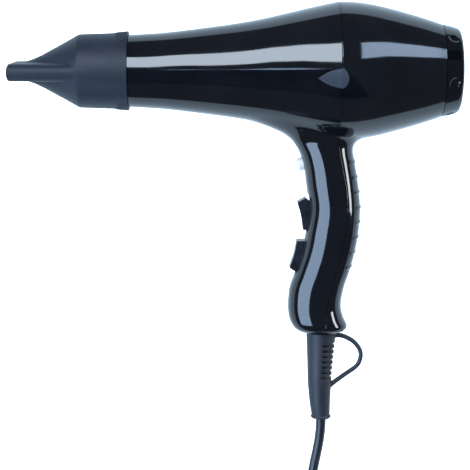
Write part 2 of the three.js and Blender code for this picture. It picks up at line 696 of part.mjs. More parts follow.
function addSwitches() {
  place('speed_rocker', rocker(SPEED_SWITCH), matteBlack);
  place('heat_rocker', rocker(HEAT_SWITCH), matteBlack);
  place('speed_switch', switchBody(SPEED_SWITCH), matteBlack);
  place('heat_switch', switchBody(HEAT_SWITCH), matteBlack);
  const button = turned(BUTTON_PROFILE, 20);
  place('cool_shot_button', inFrame(button, switchFrame(COOL_SHOT)), clearWhite);
  const microswitch = block(-20, -11.5, -6.5, 6.5, -6, 6);
  place('cool_shot_switch', inFrame(microswitch, switchFrame(COOL_SHOT)), greyPlastic);
}

// ---------------------------------------------------------------- cable entry, leads and screws

// A body with its middle line moved by the shifts [y, x, z], each holding at its own height y.
function bowed(body, shifts) {
  const along = new THREE.Vector3();
  const geometry = geometryOf(body);
  const { position } = geometry.attributes;
  for (let i = 0; i < position.count; i += 1) {
    along.fromBufferAttribute(position, i);
    const next = Math.max(1, shifts.findIndex(([y]) => y < along.y));
    const [from, to] = [shifts[next - 1], shifts[next]];
    const part = THREE.MathUtils.clamp((from[0] - along.y) / (from[0] - to[0]), 0, 1);
    along.x += THREE.MathUtils.lerp(from[1], to[1], part);
    along.z += THREE.MathUtils.lerp(from[2], to[2], part);
    position.setXYZ(i, along.x, along.y, along.z);
  }
  return solid(geometry);
}

// The rubber sleeve on the cord, with slots round its rear side so that it bends.
function strainRelief() {
  const { x, top, end, lipRadius } = RELIEF;
  const neck = [[179.2, 0], [179.2, 11.2], [181.3, 11.2], [181.3, 8.7], [-top, 8.7]];
  const lip = [[244.6, lipRadius], [-end - 0.6, lipRadius], [-end, 6.4], [-end, 0]];
  const profile = [...neck, ...RELIEF_OUTLINE, ...lip];
  const sleeve = solid(geometryOf(turned(profile, 20)).rotateZ(-Math.PI / 2).translate(x, 0, 0));
  const { first, pitch, count, width, inner } = RELIEF_SLOT;
  const settings = { depth: width, bevelEnabled: false, curveSegments: 4 };
  const slots = [];
  for (let i = 0; i < count; i += 1) {
    const geometry = new THREE.ExtrudeGeometry(sector(inner, 14, -88, 88), settings);
    slots.push(solid(geometry.rotateX(Math.PI / 2).translate(x, first - i * pitch, 0)));
  }
  return bowed(cut(sleeve, slots), RELIEF_BOW);
}

const hangLoop = () => swept(HANG_LOOP, 1.65, 8, 26);

// The bar that presses the cord against the front housing's bosses.
function cableClamp() {
  const { y } = CLAMP_SCREW;
  const bar = block(-14.6, -9, y - 4, y + 4, -12.6, 12.6).add(block(-9.5, -4, y - 4, y + 4, -6, 6));
  const cable = rod([RELIEF.x, y - 9, 0], [RELIEF.x, y + 11, 0], CORD / 2 + GAP, 16);
  const mouth = block(-16, RELIEF.x, y - 5, y + 5, -CORD / 2 - GAP, CORD / 2 + GAP);
  return cut(bar, [cable, mouth, ...clampRods(-20, 0, 1.8)]);
}

// A screw with its head at the end of the shank that points along +X.
function screw(tipX, headX, y, z) {
  const shank = rod([tipX, y, z], [headX + 0.5, y, z], 1.35, 8);
  const head = rod([headX, y, z], [headX + 2, y, z], 3, 14);
  const recess = block(headX + 1, headX + 3, y - 1.6, y + 1.6, z - 0.35, z + 0.35);
  const cross = block(headX + 1, headX + 3, y - 0.35, y + 0.35, z - 1.6, z + 1.6);
  return cut(shank.add(head), [recess, cross]);
}

function addFasteners() {
  HOUSING_SCREW.angles.forEach((angle, i) => {
    const [y, z] = screwPlace(angle);
    place(['housing_screw_upper', 'housing_screw_lower'][i], screw(-9.5, 12.3, y, z), steel);
  });
  place('handle_screw', screw(-14, 0.5, HANDLE_SCREW_Y, 0), steel);
  const { y, sides } = CLAMP_SCREW;
  place('clamp_screw_upper', screw(-25, -8.7, y, sides[1]), steel);
  place('clamp_screw_lower', screw(-25, -8.7, y, sides[0]), steel);
}

function addCableEntry() {
  place('strain_relief', strainRelief(), darkRubber);
  place('hang_loop', hangLoop(), darkRubber);
  place('cable_clamp', cableClamp(), greyPlastic);
  place('cable_end', rod([RELIEF.x, -178.9, 0], [RELIEF.x, -162, 0], CORD / 2, 12), darkRubber);
  place('lead_live', swept(LEAD_LIVE, LEAD_RADIUS, 6, 20), leadBrown);
  place('lead_neutral', swept(LEAD_NEUTRAL, LEAD_RADIUS, 6, 28), leadBlue);
  place('lead_heater', swept(LEAD_HEATER, LEAD_RADIUS, 6, 28), leadWhite);
}

// ---------------------------------------------------------------- cord, coil and plug

const cord = new THREE.Group();

// A body of revolution about the vertical axis, from [radius, z] points.
function turnedUpright(profile, sides) {
  const points = profile.map(([r, z]) => new THREE.Vector2(r, z));
  return solid(new THREE.LatheGeometry([...points, points[0].clone()], sides).rotateX(Math.PI / 2));
}

// The strap round one side of the coil.
function cordTie() {
  const { z0, z1, inner, outer } = COIL;
  const [half, clear, thick] = [6, GAP, 1];
  const loop = (grow, width) =>
    block(inner - 1 - grow, outer + 0.5 + grow, -width, width, z0 - grow, z1 + grow);
  const strap = loop(clear + thick, half);
  const space = loop(clear, half + 1);
  const geometry = geometryOf(strap.subtract(space)).rotateZ(THREE.MathUtils.degToRad(150));
  return solid(geometry.translate(COIL.x, COIL.y, 0));
}

// A moulded two-pin mains plug whose cord comes in from +X.
function plugBody() {
  const { x, y, z } = PLUG;
  const neck = turned([[x - 24, 0], [x - 24, 6.4], [x - 20, 6.2], [x - GAP, 4.6], [x - GAP, 0]], 20);
  const outline = roundedRectangle(13, 8.4, 6);
  const body = plateAlongX(outline, x - 56, x - 22, 3);
  const base = neck.add(body);
  return solid(geometryOf(base).translate(COIL.x, COIL.y + y, z));
}

function plugPin(side) {
  const { x, y, z } = PLUG;
  const [cx, cy] = [COIL.x, COIL.y + y + side * 9.5];
  return rod([cx + x - 75, cy, z], [cx + x - 56.3, cy, z], 2.4, 16);
}

function addCord() {
  place('cord_run', swept(CORD_ROUTE, CORD / 2, 10, 16), darkRubber, cord);
  const { inner, outer, z0, z1 } = COIL;
  const ring = turnedUpright([[inner, z0], [outer, z0], [outer, z1], [inner, z1]], 48);
  place('cord_coil', solid(geometryOf(ring).translate(COIL.x, COIL.y, 0)), darkRubber, cord);
  const tail = TAIL_ROUTE.map(([x, y, z]) => [COIL.x + x, COIL.y + y, z]);
  place('cord_tail', swept(tail, CORD / 2, 10, 8), darkRubber, cord);
  place('cord_tie', cordTie(), matteBlack, cord);
  place('plug_body', plugBody(), matteBlack, cord);
  place('plug_pin_left', plugPin(1), steel, cord);
  place('plug_pin_right', plugPin(-1), steel, cord);
}

// ---------------------------------------------------------------- assembly

addHousings();
addNozzle();
addRearCap();
addMotor();
addHeater();
addSwitches();
addCableEntry();
addFasteners();
addCord();

// The roll that brings the handle down onto the table: at each section the handle touches when
// length * sin(roll) + half * cos(roll) is the barrel's radius, and the first to touch decides.
function restingRoll() {
  const rolls = HANDLE.map(({ y, half }) => {
    const reach = Math.hypot(y, half);
    if (reach < BARREL_RADIUS) return Infinity;
    return Math.asin(BARREL_RADIUS / reach) - Math.atan2(half, -y);
  });
  return Math.min(...rolls);
}

dryer.rotation.x = restingRoll();
dryer.position.z = BARREL_RADIUS;
dryer.updateMatrixWorld(true);

// The part's origin is under the middle of the dryer, at table level.
const box = new THREE.Box3().setFromObject(dryer, true);
const middle = box.getCenter(new THREE.Vector3());
const part = new THREE.Group();
part.add(dryer, cord);
part.position.set(-middle.x, -middle.y, -box.min.z);

export default part;
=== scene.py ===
"""The looks of the salon hair dryer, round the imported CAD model: Blender 4.5."""
import math

import bmesh
import bpy
import numpy as np
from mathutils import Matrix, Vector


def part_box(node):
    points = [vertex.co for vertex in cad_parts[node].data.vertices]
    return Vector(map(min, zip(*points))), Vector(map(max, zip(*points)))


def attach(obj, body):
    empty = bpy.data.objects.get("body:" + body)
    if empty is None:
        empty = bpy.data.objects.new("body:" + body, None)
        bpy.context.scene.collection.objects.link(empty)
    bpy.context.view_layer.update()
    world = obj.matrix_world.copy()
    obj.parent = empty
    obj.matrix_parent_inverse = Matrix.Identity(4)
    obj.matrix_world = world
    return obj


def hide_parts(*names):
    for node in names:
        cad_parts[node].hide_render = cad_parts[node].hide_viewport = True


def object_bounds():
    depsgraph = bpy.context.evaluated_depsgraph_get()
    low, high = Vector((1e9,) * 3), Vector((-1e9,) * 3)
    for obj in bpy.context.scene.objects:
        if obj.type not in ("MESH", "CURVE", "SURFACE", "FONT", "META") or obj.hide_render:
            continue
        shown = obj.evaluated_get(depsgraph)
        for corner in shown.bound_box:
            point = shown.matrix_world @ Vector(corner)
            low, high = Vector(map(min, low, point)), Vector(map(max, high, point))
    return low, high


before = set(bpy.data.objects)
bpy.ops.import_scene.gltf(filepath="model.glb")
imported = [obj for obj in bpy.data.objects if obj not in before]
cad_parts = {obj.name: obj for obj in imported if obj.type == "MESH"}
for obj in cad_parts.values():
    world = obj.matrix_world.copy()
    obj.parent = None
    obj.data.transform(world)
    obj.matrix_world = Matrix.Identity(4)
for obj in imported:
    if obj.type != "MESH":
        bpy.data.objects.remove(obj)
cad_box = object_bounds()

import openvdb
from mathutils import Matrix, Vector

# -------- driving dimensions, in millimetres
# The dryer's own frame: barrel axis along X with the nozzle towards -X, X = 0 at the housing seam,
# handle towards -Y, and +Z the side that faces up.

MM = 0.001
GAP = 0.3
WALL = 2.4

BARREL_FRONT = [
    (-144, 24.8), (-120, 26.3), (-95, 29.2), (-72, 32.3),
    (-54, 35.4), (-36, 39.4), (-18, 43.6), (0, 47.5),
]
BARREL_REAR = [(0, 47.5), (12, 47.0), (24, 45.3), (36, 42.5), (48, 39.2), (60, 35.6), (71, 31.9)]
BARREL_RADIUS = 47.5
FRONT_X, REAR_X = -144, 71
SPIGOT = {"x0": -158, "radius": 23.8, "bore": 22.0}

# Handle sections: height y, front and rear edge in x, half the thickness along z
HANDLE = [
    (-28, -66, 18, 17.5), (-36, -50, 13.5, 18), (-44, -35.6, 11.4, 18), (-54, -27.5, 10.8, 18),
    (-66, -23.4, 12.8, 18), (-80, -21.4, 15.1, 18.2), (-96, -19.4, 16.5, 18.2), (-112, -21.6, 15.6, 18),
    (-126, -24.2, 13.3, 17.8), (-140, -28.6, 9.6, 17.5), (-152, -32.7, 5.7, 17.4),
    (-164, -33.9, 3.7, 17.5), (-173, -33.1, 5.4, 17.9), (-179, -30.6, 8.1, 17.8),
    (-182.4, -27.0, 6.4, 15), (-184.3, -21.0, 0.6, 10.6),
]
HANDLE_POWER = 2.3
FILLET = 9.0  # where the handle runs into the barrel
HANDLE_END_Y = -184.3
HANDLE_FLOOR_Y = -181.6
SEAM = [
    (0, 60), (0, 0), (0, -30), (0, -47.5), (1, -52), (3.4, -66), (6.2, -80), (7, -94), (5.6, -110),
    (3, -125), (-0.6, -139), (-5, -154), (-7, -164), (-8, -176), (-8, -190),
]
RIB = {"first": -62.2, "pitch": 10.6, "count": 8, "top": 0.5, "foot": 1.3, "proud": 0.6, "half_width": 12.5}
BADGE = {"point": -15.9, "corner": 54.6, "arc_x": -3.7, "arc_radius": 8.1, "y": -2.3}

NOZZLE_CONE = [
    (-130, 27.1), (-144.3, 26.4), (-178, 25.2), (-180, 24.2), (-186, 20.8),
    (-196, 15.4), (-204, 11.1), (-211, 8.1), (-219, 5.7), (-230, 2.5),
]
NOZZLE_BORE = [
    (-140, 24.1), (-160, 24.1), (-160, 22.6), (-176.5, 22.6), (-186, 17.2),
    (-196, 11.9), (-204, 7.9), (-213, 4.3),
]
DUCT = {
    "x0": -226, "x1": -168, "half_width": 23.6, "flare": 1.4, "flare_length": 48,
    "half_height": 6.0, "corner": 5.8, "wall": 1.5,
}
COLLAR_PAD = {"x0": -158, "x1": -144.3, "low": 26.1, "high": 27.3, "half_angle": 36, "ribs": 17}
NOZZLE_END_X = -144.3

CAP_CORE = [(66, 27), (66, 28.5), (71.3, 28.5)]
CAP_SKIN = [(71.5, 31.8), (76.5, 30.7), (81.5, 29.2), (83, 27.8), (83.5, 26.4), (83.5, 24.4)]
CAP_DIMPLE = {"x": 76.4, "cap_radius": 30.7, "radius": 4.3, "depth": 1.7, "count": 6, "turn": 48}

SPEED_SWITCH = {"x": -17, "y": -98.9, "lean": -2, "rest": 14, "rim": 2.0}
HEAT_SWITCH = {"x": -21.9, "y": -130.2, "lean": -15, "rest": 0, "rim": 3.0}
COOL_SHOT = {"x": -24, "y": -64.2, "lean": 14.4}

CORD = 7.0
RELIEF = {"x": -10, "top": -184.7, "end": -247}
RELIEF_LIP = {"y": -245.9, "reach": 6.3, "round": 0.9}
RELIEF_PROFILE = [(-184.7, 10.5), (-205, 9.2), (-221, 8.3), (-236, 7.3), (-244.6, 6.5)]
RELIEF_BOW = [(-184, 0, 0), (-205, -0.6, 0.1), (-221, -1, 0.4), (-236, -0.6, 0.9), (-247.1, 0.2, 1.4)]
RELIEF_SLOT = {"first": -192.9, "pitch": 3.92, "count": 7, "half": 1.0, "inner": 4.8}
LOOP_RADIUS = 1.65
LOOP_PATH = [
    (-3, -186.6), (0.9, -187), (4.4, -187.2), (8.8, -188.9), (12.5, -191.2), (15.3, -194),
    (17.5, -197.3), (18.3, -200.8), (17.9, -204.4), (16.5, -208), (14, -210.7), (10.4, -213.3),
    (6.1, -216.3), (1.7, -219.6), (-0.9, -221.6), (-4, -224.2),
]
# In table coordinates: x from the seam, y from the barrel axis, z from the table
CORD_ROUTE = [
    (-9.7, -244.3, 7.3), (-9.9, -250, 6.2), (-10.5, -257, 5), (-11.6, -264, 4.1), (-13, -271, 3.65),
    (-14.5, -278, 3.6), (-15.7, -285, 3.6), (-16.5, -292, 3.6), (-16.9, -300, 3.6), (-17, -308, 3.6),
    (-17, -316, 3.65), (-17, -324, 3.8), (-17, -333, 4.2), (-17, -342, 4.7),
]
COIL = {"x": -67.5, "y": -350, "z0": 1.4, "z1": 22.6, "inner": 25.9, "outer": 54.1}
COIL_LAYERS = (4.9, 11.95, 19.0)
COIL_RADII = (50.5, 43.5, 36.5, 29.5)
TAIL_ROUTE = [(23, -28.6, 27.6), (18.4, -31.9, 29.1), (12.6, -34.6, 30.6), (6.4, -36, 31.3)]
PLUG = {"x": 5.6, "y": -36, "z": 31.4, "half_width": 13, "half_height": 8.4, "corner": 6}
PIN = {"tip_x": -75, "root_x": -56.3, "radius": 2.4, "offset": 9.5}

# -------- frames


def resting_roll():
    """The angle about X at which the dryer lies on its barrel and the end of its handle."""
    rolls = []
    for y, _, _, half in HANDLE:
        reach = math.hypot(y, half)
        if reach > BARREL_RADIUS:
            rolls.append(math.asin(BARREL_RADIUS / reach) - math.atan2(half, -y))
    return min(rolls)


SHAFT_FRONT_X = 6.5  # the motor shaft's front end, which shows where the dryer's frame is
shaft_low, shaft_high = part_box("motor_shaft")
axis_point = Vector((
    shaft_low.x - SHAFT_FRONT_X * MM,
    (shaft_low.y + shaft_high.y) / 2,
    (shaft_low.z + shaft_high.z) / 2,
))
DRYER = Matrix.Translation(axis_point) @ Matrix.Rotation(resting_roll(), 4, "X") @ Matrix.Scale(MM, 4)
TABLE = Matrix.Translation(axis_point - Vector((0, 0, BARREL_RADIUS * MM))) @ Matrix.Scale(MM, 4)


def switch_frame(place):
    """+X points out of the handle and +Y down along it."""
    turn = Matrix.Rotation(math.radians(180 + place["lean"]), 4, "Z")
    return DRYER @ Matrix.Translation((place["x"], place["y"], 0)) @ turn


# -------- camera

CAMERA_X = -71.1  # over the middle of the view, in the dryer's frame
CAMERA_Y = -113.2
CAMERA_HEIGHT = 1050.0  # over the barrel axis
LENS = 116.6
CAMERA_ROLL = -0.05


def add_object(name, data):
    obj = bpy.data.objects.new(name, data)
    bpy.context.scene.collection.objects.link(obj)
    return obj


def add_camera():
    camera = add_object("camera", bpy.data.cameras.new("camera"))
    camera.data.lens = LENS
    camera.data.sensor_width = 36
    camera.data.clip_start = 0.05
    camera.location = axis_point + Vector((CAMERA_X, CAMERA_Y, CAMERA_HEIGHT)) * MM
    camera.rotation_euler = (0, 0, math.radians(CAMERA_ROLL))
    bpy.context.scene.camera = camera


# -------- curves and fields


def spline(points, per_span=12):
    """Points along a Catmull-Rom curve through the given ones."""
    p = np.asarray(points, float)
    last = len(p) - 1
    t = np.arange(per_span)[:, None] / per_span
    spans = []
    for i in range(last):
        a, b, c, d = p[max(i - 1, 0)], p[i], p[i + 1], p[min(i + 2, last)]
        v0, v1 = (c - a) / 2, (d - b) / 2
        spans.append((2 * b - 2 * c + v0 + v1) * t**3 + (3 * c - 3 * b - 2 * v0 - v1) * t**2 + v0 * t + b)
    return np.vstack([*spans, p[-1:]])


def lookup(points):
    """A function that reads a smooth curve's second column from its first."""
    line = np.asarray(points, float)
    order = np.argsort(line[:, 0], kind="stable")
    return lambda x: np.interp(x, line[order, 0], line[order, 1])


def smooth_min(a, b, k):
    h = np.clip(0.5 + 0.5 * (b - a) / k, 0, 1)
    return b * (1 - h) + a * h - k * h * (1 - h)


def smooth_max(a, b, k):
    return -smooth_min(-a, -b, k)


def smooth_step(t):
    t = np.clip(t, 0, 1)
    return t * t * (3 - 2 * t)


barrel_line = np.vstack([
    [(-160, 23.8)], spline(BARREL_FRONT), spline(BARREL_REAR)[1:], [(90, 25.7)],
])
barrel_radius = lookup(barrel_line)
handle_line = spline(HANDLE)
handle_front = lookup(handle_line[:, [0, 1]])
handle_rear = lookup(handle_line[:, [0, 2]])
handle_half = lookup(handle_line[:, [0, 3]])
seam_line = spline(SEAM)
seam_x = lookup(seam_line[:, ::-1])


def rib_lift(y, z):
    """How far the grip ribs stand out of the back of the handle."""
    phase = np.abs(y[..., None] - (RIB["first"] - RIB["pitch"] * np.arange(RIB["count"]))).min(-1)
    across = smooth_step((RIB["half_width"] - np.abs(z)) / 0.9 + 0.5)
    return RIB["proud"] * smooth_step((RIB["foot"] - phase) / (RIB["foot"] - RIB["top"])) * across


def handle_field(x, y, z):
    """The handle as superellipses, which end inside the barrel."""
    front, rear, half = handle_front(y), handle_rear(y), handle_half(y)
    middle, width = (front + rear) / 2, (rear - front) / 2
    behind = smooth_step((x - 3) / 3)
    width = width + behind * rib_lift(y, z)
    u, v = np.abs(x - middle), np.abs(z)
    rho = ((u / width) ** HANDLE_POWER + (v / half) ** HANDLE_POWER) ** (1 / HANDLE_POWER) + 1e-6
    section = np.hypot(u, v) * (1 - 1 / rho)
    return np.maximum(section, y + 20)


def housing_field(x, y, z):
    """Below zero inside the outer skin of the barrel and handle, which run into each other."""
    barrel = np.hypot(y, z) - barrel_radius(x)
    return smooth_min(barrel, handle_field(x, y, z), FILLET)


nozzle_radius = lookup(np.vstack([[*NOZZLE_CONE[:2], (-176, 25.3)], spline(NOZZLE_CONE[2:], 8)]))


def nozzle_field(x, y, z):
    """The nozzle's cone and the flat duct that runs out of it, with a bulging mouth."""
    cone = (np.hypot(y, z) - nozzle_radius(x)) * 0.9
    cy = DUCT["half_height"] - DUCT["corner"]
    flare = DUCT["flare"] * np.clip((x - DUCT["x0"]) / DUCT["flare_length"], 0, 1)
    cz = DUCT["half_width"] - DUCT["corner"] + flare
    dy, dz = np.maximum(np.abs(y) - cy, 0), np.maximum(np.abs(z) - cz, 0)
    duct = np.hypot(dy, dz) - DUCT["corner"]
    duct = smooth_max(duct, x - DUCT["x1"], 4)
    both = smooth_min(cone, duct, 1.2)
    bulge = DUCT["x0"] + 0.9 * (y / DUCT["half_height"]) ** 2
    return smooth_max(both, bulge - x, 1.2)


relief_radius = lookup(spline(RELIEF_PROFILE, 6))
relief_x = lookup([(y, RELIEF["x"] + x) for y, x, _ in spline(RELIEF_BOW, 6)])
relief_z = lookup([(y, z) for y, _, z in spline(RELIEF_BOW, 6)])
loop_line = spline(LOOP_PATH, 3)


def relief_field(x, y, z):
    """The rubber sleeve on the cord with its bending slots, its end lip and the hanging loop."""
    dx, dz = x - relief_x(y), z - relief_z(y)
    r = np.hypot(dx, dz)
    body = smooth_max(r - relief_radius(y), RELIEF["end"] - y, 0.5)
    lip = np.hypot(np.maximum(r - RELIEF_LIP["reach"], 0), y - RELIEF_LIP["y"]) - RELIEF_LIP["round"]
    body = smooth_min(body, lip, 0.5)
    for i in range(RELIEF_SLOT["count"]):
        centre = RELIEF_SLOT["first"] - RELIEF_SLOT["pitch"] * i
        slot = smooth_max(np.abs(y - centre) - RELIEF_SLOT["half"], RELIEF_SLOT["inner"] - r, 0.6)
        slot = smooth_max(slot, 0.9 - dx, 0.8)
        body = smooth_max(body, -slot, 0.5)
    loop = np.full(np.broadcast(x, y, z).shape, 1e3)
    for (ax, ay), (bx, by) in zip(loop_line[:-1], loop_line[1:]):
        sx, sy = bx - ax, by - ay
        t = np.clip(((x - ax) * sx + (y - ay) * sy) / (sx * sx + sy * sy), 0, 1)
        near = np.sqrt((x - ax - t * sx) ** 2 + (y - ay - t * sy) ** 2 + z**2)
        loop = np.minimum(loop, near - LOOP_RADIUS)
    return smooth_min(body, loop, 1.2)


def plug_field(x, y, z):
    """A moulded plug along -X from its cord, with a waist for the fingers."""
    waist = 1.6 * np.exp(-(((x + 33) / 9) ** 2))
    corner = PLUG["corner"]
    dy = np.maximum(np.abs(y) - (PLUG["half_width"] - corner), 0)
    dz = np.maximum(np.abs(z) - (PLUG["half_height"] - corner), 0)
    body = np.hypot(dy, dz) - (corner - waist)
    body = smooth_max(smooth_max(body, x + 22 + 0.02 * (y * y + z * z), 3), -56 - x, 1.4)
    neck = np.hypot(y, z) - np.interp(x, [-26, -GAP], [6.6, 4.5])
    for i in range(3):
        groove = np.abs(x + 6 + 5 * i) - 0.8
        neck = smooth_max(neck, -smooth_max(groove, 4.2 - np.hypot(y, z), 0.5), 0.5)
    neck = smooth_max(smooth_max(neck, x + GAP, 0.8), -26 - x, 0.5)
    return smooth_min(body, neck, 2.5)


# -------- meshes


def gradient(field, points, step=0.01):
    """A field's slope at each point."""
    columns = []
    for axis in range(3):
        shift = np.zeros(3)
        shift[axis] = step
        columns.append(field(*(points + shift).T) - field(*(points - shift).T))
    return np.stack(columns, 1) / (2 * step)


def outward(field, points):
    """The slope as directions of length one."""
    slope = gradient(field, points)
    return slope / (np.linalg.norm(slope, axis=1)[:, None] + 1e-12)


def vertex_places(mesh):
    places = np.empty(len(mesh.vertices) * 3)
    mesh.vertices.foreach_get("co", places)
    return places.reshape(-1, 3)


def moulded(field, low, high, pitch):
    """The zero surface of a field inside a box, as points that lie on it and quads."""
    axes = [np.arange(a, b + pitch, pitch) for a, b in zip(low, high)]
    x, y, z = np.meshgrid(*axes, indexing="ij", sparse=True)
    shape = tuple(len(a) for a in axes)
    volume = openvdb.FloatGrid()
    volume.copyFromArray(np.broadcast_to(field(x, y, z), shape).astype(np.float32))
    points, quads = volume.convertToQuads(0.0)
    points = points.astype(float) * pitch + np.asarray(low, float)
    for _ in range(5):
        slope = gradient(field, points)
        reach = field(*points.T) / np.maximum((slope**2).sum(1), 0.05)
        points = points - slope * np.clip(reach, -pitch, pitch)[:, None]
    return points, quads


def mesh_object(name, points, faces, smooth=True):
    mesh = bpy.data.meshes.new(name)
    mesh.from_pydata(np.asarray(points, float).tolist(), [], [list(map(int, f)) for f in faces])
    mesh.validate()
    bm = bmesh.new()
    bm.from_mesh(mesh)
    bmesh.ops.remove_doubles(bm, verts=bm.verts, dist=1e-4)
    bmesh.ops.recalc_face_normals(bm, faces=bm.faces)
    if bm.calc_volume(signed=True) < 0:
        bmesh.ops.reverse_faces(bm, faces=bm.faces)
    bm.to_mesh(mesh)
    bm.free()
    mesh.polygons.foreach_set("use_smooth", [smooth] * len(mesh.polygons))
    return add_object(name, mesh)


def boolean(obj, tool, operation):
    """obj joined with, or cut by, the tool, which is used up."""
    modifier = obj.modifiers.new("boolean", "BOOLEAN")
    modifier.operation = operation
    modifier.solver = "MANIFOLD"
    modifier.object = tool
    graph = bpy.context.evaluated_depsgraph_get()
    result = bpy.data.meshes.new_from_object(obj.evaluated_get(graph))
    obj.modifiers.clear()
    obj.data = result
    bpy.data.objects.remove(tool)
    return obj


def cut(obj, *tools):
    for tool in tools:
        boolean(obj, tool, "DIFFERENCE")
    return obj


def join(obj, *tools):
    for tool in tools:
        boolean(obj, tool, "UNION")
    return obj


def rings_object(name, rings, closed=False):
    """A skin over rings of equally many points, capped at both ends unless the rings close up."""
    count = len(rings[0])
    faces = []
    spans = len(rings) if closed else len(rings) - 1
    for r in range(spans):
        a0, b0 = r * count, ((r + 1) % len(rings)) * count
        for i in range(count):
            j = (i + 1) % count
            faces.append((a0 + i, a0 + j, b0 + j, b0 + i))
    if not closed:
        faces.append(range(count - 1, -1, -1))
        faces.append([(len(rings) - 1) * count + i for i in range(count)])
    return mesh_object(name, np.vstack(rings), faces)


def turned(name, profile, sides=96, closed=False):
    """A profile of (x, radius) turned about the X axis. A closed profile makes a ring."""
    angle = 2 * np.pi * np.arange(sides) / sides
    rings = []
    for x, r in profile:
        rings.append(np.stack([np.full(sides, x), r * np.cos(angle), r * np.sin(angle)], 1))
    return rings_object(name, rings, closed)


def prism(name, outline, low, high):
    """An outline in x and y made thick along z."""
    outline = np.asarray(outline, float)
    rings = [np.column_stack([outline, np.full(len(outline), z)]) for z in (low, high)]
    return rings_object(name, rings)


def moved(obj, matrix):
    obj.data.transform(matrix)
    return obj


def rounded_rectangle(half_a, half_b, corner, steps=6):
    points = []
    for quarter, (sa, sb) in enumerate([(1, 1), (-1, 1), (-1, -1), (1, -1)]):
        for i in range(steps + 1):
            t = math.pi / 2 * (quarter + i / steps)
            points.append((
                sa * (half_a - corner) + corner * math.cos(t),
                sb * (half_b - corner) + corner * math.sin(t),
            ))
    return points


# Turns x, y, z into z, x, y: an outline in x and y then lies in y and z, and its depth is along x
ALONG_X = Matrix(((0, 0, 1, 0), (1, 0, 0, 0), (0, 1, 0, 0), (0, 0, 0, 1)))


def bevel(obj, width, segments=3, angle=32):
    modifier = obj.modifiers.new("bevel", "BEVEL")
    modifier.width = width
    modifier.segments = segments
    modifier.limit_method = "ANGLE"
    modifier.angle_limit = math.radians(angle)
    modifier.harden_normals = True
    return obj


def sharpen(obj, angle=32):
    obj.data.polygons.foreach_set("use_smooth", [True] * len(obj.data.polygons))
    obj.data.set_sharp_from_angle(angle=math.radians(angle))
    return obj


def field_normals(obj, field, matrix):
    """Shades the faces that lie on a field's surface by its slope, and every other face flat."""
    mesh = obj.data
    points = vertex_places(mesh)
    on_surface = np.abs(field(*points.T)) < 0.03
    slope = outward(field, points)
    loops = np.empty(len(mesh.loops), int)
    mesh.loops.foreach_get("vertex_index", loops)
    faces = len(mesh.polygons)
    totals = np.empty(faces, int)
    mesh.polygons.foreach_get("loop_total", totals)
    flat = np.empty(faces * 3)
    mesh.polygons.foreach_get("normal", flat)
    flat = np.repeat(flat.reshape(-1, 3), totals, axis=0)
    smooth = slope[loops]
    keep = on_surface[loops] & ((smooth * flat).sum(1) > 0.75)
    normals = np.where(keep[:, None], smooth, flat)
    turn = np.array(matrix.to_3x3().normalized())
    mesh.transform(matrix)
    mesh.polygons.foreach_set("use_smooth", [True] * faces)
    mesh.normals_split_custom_set((normals @ turn.T).tolist())
    return obj


# -------- materials


class Nodes:
    """Makes a procedural material's nodes, one call each."""

    def __init__(self, name):
        self.material = bpy.data.materials.new(name)
        self.material.use_nodes = True
        self.tree = self.material.node_tree
        self.shader = self.tree.nodes["Principled BSDF"]
        self.place = self.tree.nodes.new("ShaderNodeTexCoord").outputs["Object"]

    def fill(self, node, sockets):
        for socket, value in sockets.items():
            if isinstance(value, bpy.types.NodeSocket):
                self.tree.links.new(value, node.inputs[socket])
            else:
                node.inputs[socket].default_value = value

    def add(self, kind, sockets):
        node = self.tree.nodes.new(kind)
        self.fill(node, sockets)
        return node.outputs[0]

    def noise(self, scale, detail=3.0, roughness=0.5, place=None):
        sockets = {"Vector": place or self.place, "Scale": scale, "Detail": detail, "Roughness": roughness}
        return self.add("ShaderNodeTexNoise", sockets)

    def remap(self, value, low, high, start=0.3, end=0.7):
        sockets = {"Value": value, "From Min": start, "From Max": end, "To Min": low, "To Max": high}
        return self.add("ShaderNodeMapRange", sockets)

    def blend(self, factor, first, second):
        ramp = self.tree.nodes.new("ShaderNodeValToRGB")
        ramp.color_ramp.elements[0].color = (*first, 1)
        ramp.color_ramp.elements[0].position = 0.3
        ramp.color_ramp.elements[1].color = (*second, 1)
        ramp.color_ramp.elements[1].position = 0.7
        self.tree.links.new(factor, ramp.inputs["Fac"])
        return ramp.outputs["Color"]

    def bump(self, height, strength, distance, under=None):
        sockets = {"Height": height, "Strength": strength, "Distance": distance}
        if under is not None:
            sockets["Normal"] = under
        return self.add("ShaderNodeBump", sockets)

    def finish(self, colour, roughness, normal=None, **constants):
        self.fill(self.shader, {"Base Color": colour, "Roughness": roughness})
        if normal is not None:
            self.fill(self.shader, {"Normal": normal})
        self.fill(self.shader, {name.replace("_", " "): value for name, value in constants.items()})
        return self.material


def gloss_black():
    """Polished black plastic: faint waves from the mould, hazy patches and fine hairlines."""
    n = Nodes("gloss_black")
    haze = n.noise(38, 4)
    hairs = n.noise(2600, 2, place=n.add("ShaderNodeMapping", {"Vector": n.place, "Scale": (1, 0.06, 1)}))
    rough = n.add("ShaderNodeMath", {0: n.remap(haze, 0.05, 0.085), 1: n.remap(hairs, 0, 0.02)})
    waves = n.bump(n.noise(95, 1), 0.02, 0.0006)
    peel = n.bump(n.noise(900, 2), 0.03, 0.00012, waves)
    colour = n.blend(haze, (0.0012, 0.0016, 0.0026), (0.002, 0.0026, 0.004))
    return n.finish(colour, rough, peel, IOR=1.5)


